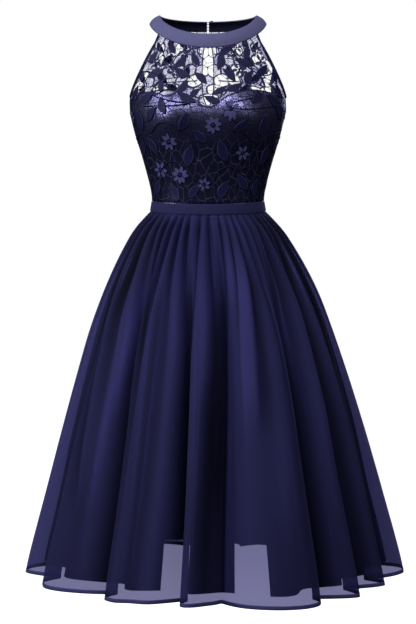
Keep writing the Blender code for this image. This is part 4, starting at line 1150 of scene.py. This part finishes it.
# Folds, from the wearer's right side round the front: angle of the valley before it at
# the waist and at the hem, depth of that valley, height of the hem on its ridge, lean of
# its ridge, the gathers that run into it, and how far it laps over that valley at the
# waist and at the hem
FOLDS = (
    (-100, -101.0, 0.058, -1.0603, 0.0, 3, 1.0, 1.0),
    (-78, -75.0, 0.058, -1.0706, 0.0, 4, 1.5, 1.5),
    (-42, -39.0, 0.064, -1.0774, -2.5, 4, 2.5, 2.0),
    (-13, -12.0, 0.066, -1.0794, -3.0, 2, 2.5, 2.0),
    (7, 2.0, 0.070, -1.0868, 3.0, 5, 3.0, 0.0),
    (40, 37.5, 0.060, -1.0762, 0.0, 2, -2.5, -2.0),
    (54, 51.0, 0.052, -1.0649, 0.0, 3, -2.0, -2.0),
    (78, 65.0, 0.052, -1.0581, 0.0, 3, -1.5, -1.5),
    (101, 101.0, 0.058, -1.0580, 0.0, 3, -1.0, -1.0),
    (122, 123.0, 0.060, -1.0555, 0.0, 3, 2.0, 2.0),
    (144, 146.0, 0.062, -1.0515, 0.0, 3, 2.0, 2.0),
    (167, 168.0, 0.060, -1.0500, 0.0, 3, 1.5, 1.5),
    (193, 192.0, 0.062, -1.0505, 0.0, 3, -1.5, -1.5),
    (216, 214.0, 0.060, -1.0525, 0.0, 3, -2.0, -2.0),
    (238, 237.0, 0.058, -1.0560, 0.0, 3, -2.0, -2.0),
)
AT_WAIST, AT_HEM, DEPTH, HEM, LEAN, GATHERS, LAP_WAIST, LAP_HEM = range(8)
LEFT_SEAM, BACK_SEAM = 7, 11              # places of the seams
FOLD_ONSET = 1.7          # how fast the folds deepen
# How sharp a fold's edges are, the half width in degrees from which they are so, and by
# which level; then how the lap is spread over a fold, and by which level it is full
SHARPEST, WIDE_FOLD, CROWDED_BY = 0.85, 9.0, 0.4
LAP_POWER, LAPPED_BY = 1.5, 0.35
# Room between chiffon and lining on a ridge and in a valley, what the hem adds to it, and
# the level by which most of it is there
LINING_AT_RIDGE, LINING_AT_VALLEY, LINING_FLARE = 0.023, 0.009, 0.010
LINING_ONSET = 0.045
# Levels: the top behind the waistband, the ends of the zip's tape and of its opening, the
# hem where it steps up, and the hem
TUCK = -0.0162
TAPE_END, OPENING_END = 0.22, 0.24
STEP_LEVEL, HEM_LEVEL = 0.848, 0.975
# First and last place of each step
HEM_STEPS = ((2.25, 2.5), (3.625, 3.875))
SKIRT_SATIN = (0.050, 0.049, 0.100)


def fold_place(place):
    """The fold that a place belongs to, and its position from -1 to 1 across it."""
    fold = floor(place + 0.5)
    return fold, 2.0 * (place - fold)


def fold_rows(fold):
    """A fold's row and the next one's, with their angles unwound past the back."""
    rows = []
    for k in (fold, fold + 1):
        turns, row = divmod(k, len(FOLDS))
        waist, hem, *rest = FOLDS[row]
        rows.append((waist + 360 * turns, hem + 360 * turns, *rest))
    return rows


def fold_angle(place, down, crowding=SHARPEST):
    """Angle round the body of a place at a share of the way down the skirt."""
    fold, across = fold_place(place)
    row, following = fold_rows(fold)
    start = mix(row[AT_WAIST], row[AT_HEM], smooth(down))
    end = mix(following[AT_WAIST], following[AT_HEM], smooth(down))
    half = (end - start) / 2
    crowd = crowding * min(1.0, half / WIDE_FOLD) * smooth(down / CROWDED_BY)
    lean = row[LEAN] * max(0.0, down) * cos(pi * across / 2) ** 2
    beside = row if across < 0 else following
    lap = mix(beside[LAP_WAIST], beside[LAP_HEM], down) * smooth(down / LAPPED_BY)
    return (start + half * (1.0 + across + crowd * sin(pi * across) / pi) + lean
            + lap * valley_weight(place) ** LAP_POWER)


def valley_weight(place):
    """0 on a ridge and 1 in a valley."""
    return 0.5 - 0.5 * cos(pi * fold_place(place)[1])


def fold_depth(place, down):
    """How far a place lies inside the tops of the folds."""
    fold, across = fold_place(place)
    row, following = fold_rows(fold)
    valley = row[DEPTH] if across < 0 else following[DEPTH]
    onset = 1.0 - (1.0 - min(max(down, 0.0), 1.0)) ** FOLD_ONSET
    return valley * onset * valley_weight(place)


def hem_height(place):
    """Height of the chiffon's hem, evened out between one fold and the next."""
    fold, across = fold_place(place)
    own = FOLDS[fold % len(FOLDS)][HEM]
    beside = FOLDS[(fold + (1 if across > 0 else -1)) % len(FOLDS)][HEM]
    return mix(own, (own + beside) / 2, valley_weight(place))


def skirt_height(place, angle, down):
    """Height of a level of the skirt."""
    return mix(waist_top(angle) - WAIST_WIDTH - SEAM, hem_height(place), down)


def skirt_point(angle, z, inward, down):
    """A point of the skirt at an angle and height, moved in from the folds' tops."""
    turn = radians(angle)
    fall = waist_top(angle) - WAIST_WIDTH - z
    depth = read(SKIRT, FRONT if cos(turn) > 0 else BACK, fall)
    flat = Vector((read(SKIRT, HALF_WIDTH, fall) * sin(turn), -depth * cos(turn)))
    flat *= 1.0 - inward / flat.length
    swing = SKIRT_SWING * (1.0 - (1.0 - max(0.0, down)) ** 2)
    return Vector((flat.x + swing, flat.y, z))


def skirt_lining(place, down):
    """The skirt's lining. Above level 0 it runs up behind the waistband."""
    angle = fold_angle(place, down, crowding=0.0)
    if down < 0.0:
        top = waist_top(angle) - LINING_TUCK - SEAM
        bottom = skirt_height(place, angle, 0.0)
        return outside(body, angle, mix(bottom, top, down / TUCK), LINING_OFFSET)
    room = mix(LINING_AT_RIDGE + LINING_FLARE * down, LINING_AT_VALLEY, valley_weight(place))
    free = 1.0 - exp(-down / LINING_ONSET)
    inward = fold_depth(place, down) - LINING_OFFSET + room * free
    return skirt_point(angle, skirt_height(place, angle, down), inward, down)


def between_seams(surface, first, last):
    """A panel of the skirt, drawn in a little where it is sewn to the next one, or
    further where the lining leaves an opening for the zip."""
    def place_on(place, down):
        point = surface(place, down)
        if place not in (first, last):
            return point
        width = STITCHED
        if surface is skirt_lining and place == BACK_SEAM:
            closed = smooth((down - TAPE_END) / (OPENING_END - TAPE_END))
            width = mix(ZIP_CLEAR, STITCHED, closed)
        towards = 0.01 if place == first else -0.01
        inside = surface(place + towards, down) - surface(place - towards, down)
        return point + inside.normalized() * width
    return place_on


def in_hem_step(place, down):
    """Whether a place of the front lining lies where its hem steps up."""
    return down > STEP_LEVEL and any(low < place < high for low, high in HEM_STEPS)


PANELS = (("front", 0, LEFT_SEAM), ("back_left", LEFT_SEAM, BACK_SEAM),
          ("back_right", BACK_SEAM, len(FOLDS)))
skirt_satin = satin_look("skirt_satin", SKIRT_SATIN)
lining_levels = [TUCK, *even(0.0, STEP_LEVEL, 44), *even(STEP_LEVEL, HEM_LEVEL, 8)[1:]]
for side, first, last in PANELS:
    piece = cloth("skirt_lining_" + side, between_seams(skirt_lining, first, last),
                  even(first, last, 16 * (last - first)), lining_levels, LINING_THICK,
                  leave_out=in_hem_step if side == "front" else None)
    wear(piece, skirt_satin, ["skirt_lining_" + side])
    width, share = (1.25, 0.58) if side == "front" else (0.80, 0.47)
    share * width * 0.70

# ------------------------------------------------------------------ zip
# A concealed zip at the centre back, from the keyhole to below the waist: a woven tape
# inside the two backs, the nylon coil on its inner face, and outside them a small painted
# slider whose tab swings on a pin.

TAPE_HALF, TAPE_THICK = 0.0062, 0.0010
TAPE_TOP = -0.168
TOOTH = (0.0024, 0.0007, 0.0006)          # width, depth and height of a tooth
TOOTH_PITCH = 0.0010
NYLON, PAINT = (0.0060, 0.0060, 0.022), (0.0120, 0.0120, 0.045)


def zip_tape(x, row):
    """The zip's tape: rows from -1 to 0 lie in the bodice, and the rest in the skirt."""
    if row <= 0.0:
        z = mix(WAIST_TOP - WAIST_WIDTH, TAPE_TOP, -row)
        return outside(body, 180.0, z, LINING_OFFSET) + Vector((x, 0.0, 0.0))
    return skirt_lining(BACK_SEAM, row) + Vector((x, 0.0, 0.0))


def painted_metal():
    """Die-cast zinc under a thin coat of paint, rubbed a little in small uneven patches."""
    look, nodes = new_look("painted_metal", 0.42, Specular_IOR_Level=0.5)
    place, u, v = cloth_place(nodes, on_cloth=False)
    rubbed = noise(nodes, place, 1400.0, 3.0)
    connect(look, Base_Color=rubbed.between(PAINT, tone(PAINT, 2.2)),
            Roughness=rubbed * 0.2 + 0.32, Normal=bump(nodes, rubbed, 0.00002))
    return look


tape_rows = [*even(-1.0, 0.0, 24), *even(0.0, TAPE_END, 24)[1:]]
tape = cloth("zip_tape", zip_tape, even(-TAPE_HALF, TAPE_HALF, 4), tape_rows, TAPE_THICK)
wear(tape, crepe_look("zip_tape", NYLON), ["zip_tape"])
mesh = bmesh.new()
points = np.array([zip_tape(0.0, row)[:] for row in tape_rows])
run = distances(points)
for k, at in enumerate(np.arange(TOOTH_PITCH, run[-1], TOOTH_PITCH)):
    x, y, z = (float(np.interp(at, run, points[:, axis])) for axis in range(3))
    x = TOOTH[0] / 4 * (-1) ** k
    add_grain(mesh, Matrix.Translation((x, y - (TAPE_THICK + TOOTH[1]) / 2, z)), TOOTH)
coil = add_piece("zip_coil", mesh)
sew_on(coil, crepe_look("zip_coil", NYLON, on_cloth=False, roughness=0.4))
metal = painted_metal()
for node in ("zip_slider", "zip_tab"):
    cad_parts[node].data.materials.clear()
    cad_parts[node].data.materials.append(metal)

# ------------------------------------------------------------------ chiffon skirt
# Sheer chiffon, in three panels, gathered into the waistband. The gathers run together
# into deep folds that lap over each other, and the hem is rolled and stitched.
# Its colour carries painted shade in the folds and gathers, and painted highlights along their
# edges.

CHIFFON_THICK, SKIRT_LONG = 0.0004, 0.70
FINE_TO = 0.12            # level down to which its rows are closest
CHIFFON = (0.0330, 0.0325, 0.118)
CHIFFON_WEAVE = 0.0006    # pitch of its threads
SHEER_TINT = (0.667, 0.655, 0.87)
SHEER = 0.53              # share of the light that each of the cloth's two faces lets through
# Gathers: height at the waistband and when full, the level where they are full, how far
# down they fade, how narrow the lines between them are, and how uneven they all are
GATHER_TOP, GATHER_FULL = 0.0014, 0.0056
GATHER_GROWN, GATHER_FADE = 0.035, 0.36
GATHER_SHARP = 3.0
GATHER_WANDER, GATHER_UNEVEN, FADE_UNEVEN = 0.9, 0.30, 0.35
# How far gathers move the cloth in, on top of one and between two, for their height
GATHER_OUT, GATHER_IN = 0.8, 2.1
HEM_TURN, HEM_THICK = 0.0070, 0.0012
# Painted shade of the plain cloth, and the painted highlight that the edge of a lapping fold
# adds to it. The edge stands at a share of half a fold from the valley, and most of its
# painted light fades within the next share, the rest more slowly
PLAIN_SHADE, EDGE_PAINTED_LIGHT, EDGE_AT, EDGE_FADE = 0.41, 0.60, 0.07, 0.06
SLOW_PART, SLOWER = 0.25, 6.0
SHADED_FROM = 0.30        # level from which the folds' painted shade is full
RISE_PAINTED_LIGHT = 28.0         # painted light: how much lighter the cloth is for a crease's rise in metres
CREASE_PAINTED_SHADE = 0.7        # painted shade: how much darker it is under a crease's steep side
# A gather's painted highlight along its edge and its fade, and its painted shade at its end: its
# start and its width
GATHER_PAINTED_LIGHT, LIGHT_FADE, GATHER_PAINTED_SHADE_START, DARK_WIDE = 0.30, 0.10, 0.35, 0.55
GATHER_DEEP = 1.3         # how much a gather's height counts for its painted shade and highlight
# How far the painted shade reaches from where the cloth runs in under the next fold, for
# the valley before each fold, as a share of half a fold
PAINTED_SHADE_REACH = (0.45, 0.40, 0.38, 0.34, 1.50, 0.45, 0.95, 0.80, 0.50, 0.60, 0.45, 0.70, 0.50,
              0.45, 0.60)
FULL_REACH = 0.55         # level from which the painted shade reaches so far
# Creases: place at its start and at its end, start level, end level, height or, below 0,
# depth, half width, and the side that is steep: -1 the first, 1 the last, 0 neither
CREASES = (
    (0.12, 0.12, 0.15, 1.00, 0.006, 0.10, 0), (-0.18, -0.22, 0.20, 0.90, 0.005, 0.08, 0),
    (1.04, 1.10, 0.14, 0.84, 0.011, 0.10, -1), (1.27, 1.27, 0.12, 0.62, 0.007, 0.05, 0),
    (0.72, 0.76, 0.30, 1.00, 0.005, 0.06, 0), (2.06, 2.05, 0.08, 1.00, -0.006, 0.06, 0),
    (2.25, 2.17, 0.12, 1.00, 0.008, 0.07, 0), (1.80, 1.82, 0.15, 0.60, 0.004, 0.06, 0),
    (3.12, 3.22, 0.40, 1.00, -0.009, 0.12, 0), (2.84, 2.82, 0.08, 0.80, 0.005, 0.08, -1),
    (3.06, 3.08, 0.10, 0.90, 0.006, 0.10, 0), (3.28, 3.26, 0.30, 1.00, 0.005, 0.08, 0),
    (3.93, 3.88, 0.06, 0.62, 0.009, 0.12, 1), (3.78, 3.76, 0.25, 1.00, 0.004, 0.08, 0),
    (4.08, 4.02, 0.10, 0.95, 0.007, 0.07, 0), (4.22, 4.20, 0.14, 0.70, 0.006, 0.05, 1),
    (4.86, 4.90, 0.10, 0.90, 0.006, 0.10, 0), (5.08, 5.06, 0.15, 0.70, 0.005, 0.08, 1),
    (5.86, 5.90, 0.15, 0.95, 0.006, 0.12, 0), (6.80, 6.84, 0.10, 0.85, 0.006, 0.08, 0),
    (7.14, 7.16, 0.14, 1.00, 0.006, 0.08, 0), (7.90, 7.86, 0.12, 0.80, 0.006, 0.07, -1),
    (8.12, 8.14, 0.20, 0.95, 0.006, 0.08, 0), (8.84, 8.80, 0.20, 1.00, 0.006, 0.08, 0),
    (9.10, 9.12, 0.10, 0.80, 0.008, 0.08, 1), (9.88, 9.92, 0.15, 1.00, 0.006, 0.08, 0),
    (10.16, 10.12, 0.10, 0.70, 0.008, 0.07, 1), (10.84, 10.86, 0.20, 0.95, 0.006, 0.08, 0),
    (11.18, 11.16, 0.12, 0.85, 0.006, 0.07, 0), (11.86, 11.90, 0.14, 1.00, 0.007, 0.08, -1),
    (12.14, 12.18, 0.10, 0.75, 0.008, 0.07, 0), (12.90, 12.86, 0.18, 0.95, 0.006, 0.08, 0),
    (13.16, 13.14, 0.12, 1.00, 0.006, 0.07, 0), (13.86, 13.84, 0.10, 0.80, 0.007, 0.07, -1),
    (14.14, 14.18, 0.15, 0.90, 0.006, 0.08, 0),
)
# Shares of its length over which a crease rises and dies out, and how steep a side gets
CREASE_START, CREASE_END, CREASE_STEEP = 0.25, 0.35, 0.75
UNDER_FROM = 0.25         # place from its ridge, in half widths, where its painted shade starts


def gather(place, down):
    """The gathers under the waistband, uneven and dying out downwards: how high they
    stand at a place, whether it lies between two, from 0 to 1, and its share of the way
    from one such line to the next."""
    fold, across = fold_place(place)
    gathers = FOLDS[fold % len(FOLDS)][GATHERS]
    share = (across + 1.0) / 2
    wander = GATHER_WANDER * sin(2 * pi * share + fold) * sin(pi * share)
    phase = 2 * pi * gathers * share + wander
    uneven = 1.0 + GATHER_UNEVEN * sin(9.7 * place + 2.3 * sin(4.1 * place))
    grown = mix(GATHER_TOP, GATHER_FULL * uneven, min(1.0, max(0.0, down) / GATHER_GROWN))
    fade = GATHER_FADE * (1.0 + FADE_UNEVEN * sin(7.3 * place + 1.0))
    return (grown * exp(-max(0.0, down - GATHER_GROWN) / fade),
            ((1.0 - cos(phase)) / 2) ** GATHER_SHARP, (phase / (2 * pi) + 0.5) % 1.0)


def creases(place, down):
    """How far the creases near a place raise it, and how far it lies under the steep side
    of one, from 0 to 1, which sets a painted shade."""
    rise = under = 0.0
    for start, end, top, bottom, height, half_width, steep in CREASES:
        share = (down - top) / (bottom - top)
        if share <= 0.0 or (share >= 1.0 and bottom < 1.0):
            continue
        away = (place - mix(start, end, share)) / half_width
        if abs(away) > 3.0:
            continue
        side = steep * (1 if away > 0 else -1)
        ends = smooth(share / CREASE_START)
        if bottom < 1.0:
            ends *= smooth((1.0 - share) / CREASE_END)
        rise += height * ends * exp(-(away / (1.0 - CREASE_STEEP * side)) ** 2)
        if side > 0:
            under += ends * smooth(abs(away) / UNDER_FROM) * exp(-away * away)
    return rise, min(under, 1.0)


def chiffon(place, down):
    """The outer skirt."""
    angle = fold_angle(place, down)
    height, between, lapped = gather(place, down)
    inward = fold_depth(place, down) - height * (GATHER_OUT - GATHER_IN * between)
    inward -= creases(place, down)[0] * (1.0 - 0.5 * valley_weight(place))
    return skirt_point(angle, skirt_height(place, angle, down), inward, down)


def painted_fold_shade(place, down):
    """Painted shade for the cloth's colour: painted shade between gathers and where it runs
    in under the next fold, and painted highlights along the edge of the fold that laps over
    it and on the creases' rises."""
    fold, across = fold_place(place)
    deep = smooth(down / SHADED_FROM)
    height, between, lapped = gather(place, down)
    rise, under = creases(place, down)
    shade = PLAIN_SHADE + RISE_PAINTED_LIGHT * rise
    crowded = across + SHARPEST * sin(pi * across) / pi
    # Painted shade where the cloth runs in under the next fold, and a painted highlight along the
    # lapping fold's edge
    for side, row in zip((-1, 1), fold_rows(fold)):
        away = 1.0 - side * crowded
        lap = mix(row[LAP_WAIST], row[LAP_HEM], down)
        if (side > 0) == (lap >= 0.0):
            reach = PAINTED_SHADE_REACH[(fold + (side > 0)) % len(FOLDS)] * min(1.0, down / FULL_REACH)
            dark = 1.0 - smooth(away / reach) if away < reach else 0.0
            shade *= 1.0 - deep * min(1.0, abs(lap)) * dark
        else:
            past = max(0.0, away - EDGE_AT) / EDGE_FADE
            edge = mix(exp(-past), exp(-past / SLOWER), SLOW_PART)
            shade += EDGE_PAINTED_LIGHT * deep * edge
            shade *= 1.0 - deep * (1.0 - smooth(away / EDGE_AT))
    # Painted highlight along each gather's edge, and painted shade towards the line before the
    # next
    turned = lapped if fold_rows(fold)[0][LAP_WAIST] >= 0.0 else 1.0 - lapped
    edge = GATHER_PAINTED_LIGHT * exp(-turned / LIGHT_FADE)
    dark = smooth((turned - GATHER_PAINTED_SHADE_START) / DARK_WIDE)
    shade *= 1.0 + min(1.0, GATHER_DEEP * height / GATHER_FULL) * (edge - dark)
    return shade * (1.0 - CREASE_PAINTED_SHADE * under)


def chiffon_look():
    """Sheer crepe chiffon: tinted where light comes through, with a fine uneven weave. Its
    colour carries the painted shade and highlights that are kept on the cloth.
    """
    look, nodes = new_look("chiffon", 0.75, Specular_IOR_Level=0.08, Sheen_Weight=0.10,
                           Sheen_Roughness=0.30, Sheen_Tint=(0.55, 0.55, 1.0, 1.0))
    place, u, v = cloth_place(nodes)
    weave = u.waves(CHIFFON_WEAVE) * v.waves(CHIFFON_WEAVE)
    grain = noise(nodes, place, 700.0, 3.0)
    streaks = noise(nodes, place, 90.0, 2.0, (1.0, 0.05, 1.0))
    # The painted shade of the folds, gathers and creases, made a little uneven by grain and
    # streaks
    shade = nodes.node("ShaderNodeAttribute", {"attribute_name": "shade"}, output=2)
    depth = shade * (grain * 0.25 + streaks * 0.25 + 0.75)
    connect(look, Base_Color=depth.between(tone(CHIFFON, 0.10), tone(CHIFFON, 1.50)),
            Normal=bump(nodes, weave * 0.5 + grain, 0.0001))
    let_through(look, nodes, SHEER + (grain - 0.5) * 0.25, SHEER_TINT)
    return look


chiffon_sheer = chiffon_look()
hem_cloth = crepe_look("hem_chiffon", CHIFFON)
hem_top = 1.0 - HEM_TURN / SKIRT_LONG
chiffon_levels = [*even(0.0, FINE_TO, 18), *even(FINE_TO, hem_top, 66)[1:]]
for side, first, last in PANELS:
    surface = between_seams(chiffon, first, last)
    columns = even(first, last, 48 * (last - first))
    piece = cloth("skirt_" + side, surface, columns, chiffon_levels, CHIFFON_THICK,
                  shade=painted_fold_shade)
    wear(piece, chiffon_sheer, ["skirt_" + side])
    hem = cloth("skirt_hem_" + side, surface, columns, even(hem_top, 1.0, 3), HEM_THICK)
    sew_on(hem, hem_cloth)
    width, share = (1.55, 0.67) if side == "front" else (0.95, 0.58)
    share * width * 0.72

# ------------------------------------------------------------------ studio
# A plain pale floor well below the hem, soft light from above the front and from the
# sides, stronger on the wearer's right, and a camera straight in front of the dress.

CAMERA_Y, CAMERA_Z = -3.4, -0.5636
LENS = 101.63
FLOOR_Z = -1.60
AIM_Z = -0.40             # height that the lamps are aimed at
AMBIENT = 0.035

floor_mesh = bmesh.new()
bmesh.ops.create_grid(floor_mesh, x_segments=1, y_segments=1, size=40.0)
bmesh.ops.translate(floor_mesh, vec=(0.0, 0.0, FLOOR_Z), verts=floor_mesh.verts)
studio_floor = add_piece("studio_floor", floor_mesh)
floor_look, nodes = new_look("floor", 0.9, Emission_Strength=1.0)
floor_shader = floor_look.node_tree.nodes["Principled BSDF"]
floor_shader.inputs["Base Color"].default_value = (0.9, 0.9, 0.9, 1.0)
floor_shader.inputs["Emission Color"].default_value = (1.0, 1.0, 1.0, 1.0)
studio_floor.data.materials.append(floor_look)
studio_floor.visible_diffuse = False
studio_floor.visible_glossy = False

# Lamps: place, width, height, power
LAMPS = {
    "above": ((-0.15, -1.9, 1.20), 4.4, 0.8, 84.0),
    "right_side": ((-2.7, -1.0, 0.6), 1.0, 1.8, 66.0),
    "left_side": ((2.4, -1.4, 0.5), 1.2, 2.0, 8.0),
    "behind": ((0.8, 2.6, 0.9), 2.0, 2.0, 28.0),
}
for name, (place, width, height, power) in LAMPS.items():
    lamp = bpy.data.lights.new(name, "AREA")
    lamp.shape = "RECTANGLE"
    lamp.size, lamp.size_y, lamp.energy = width, height, power
    light = add_object(name, lamp)
    light.location = place
    aim = Vector((0.0, 0.0, AIM_Z)) - Vector(place)
    light.rotation_euler = aim.to_track_quat("-Z", "Y").to_euler()

world = bpy.data.worlds.new("studio")
world.use_nodes = True
bpy.context.scene.world = world
sky = Socket(world.node_tree)
seen = sky.node("ShaderNodeLightPath")
strength = seen * (1.0 - AMBIENT) + AMBIENT
background = world.node_tree.nodes["Background"]
background.inputs["Color"].default_value = (1.0, 1.0, 1.0, 1.0)
world.node_tree.links.new(strength.link, background.inputs["Strength"])

camera_data = bpy.data.cameras.new("camera")
camera_data.lens, camera_data.sensor_width = LENS, 36.0
camera_data.sensor_fit = "AUTO"
camera = add_object("camera", camera_data)
camera.location = (0.0, CAMERA_Y, CAMERA_Z)
camera.rotation_euler = (radians(90.0), 0.0, 0.0)
bpy.context.scene.camera = camera
bpy.context.scene.view_settings.view_transform = "Standard"
bpy.context.scene.cycles.transparent_max_bounces = 48
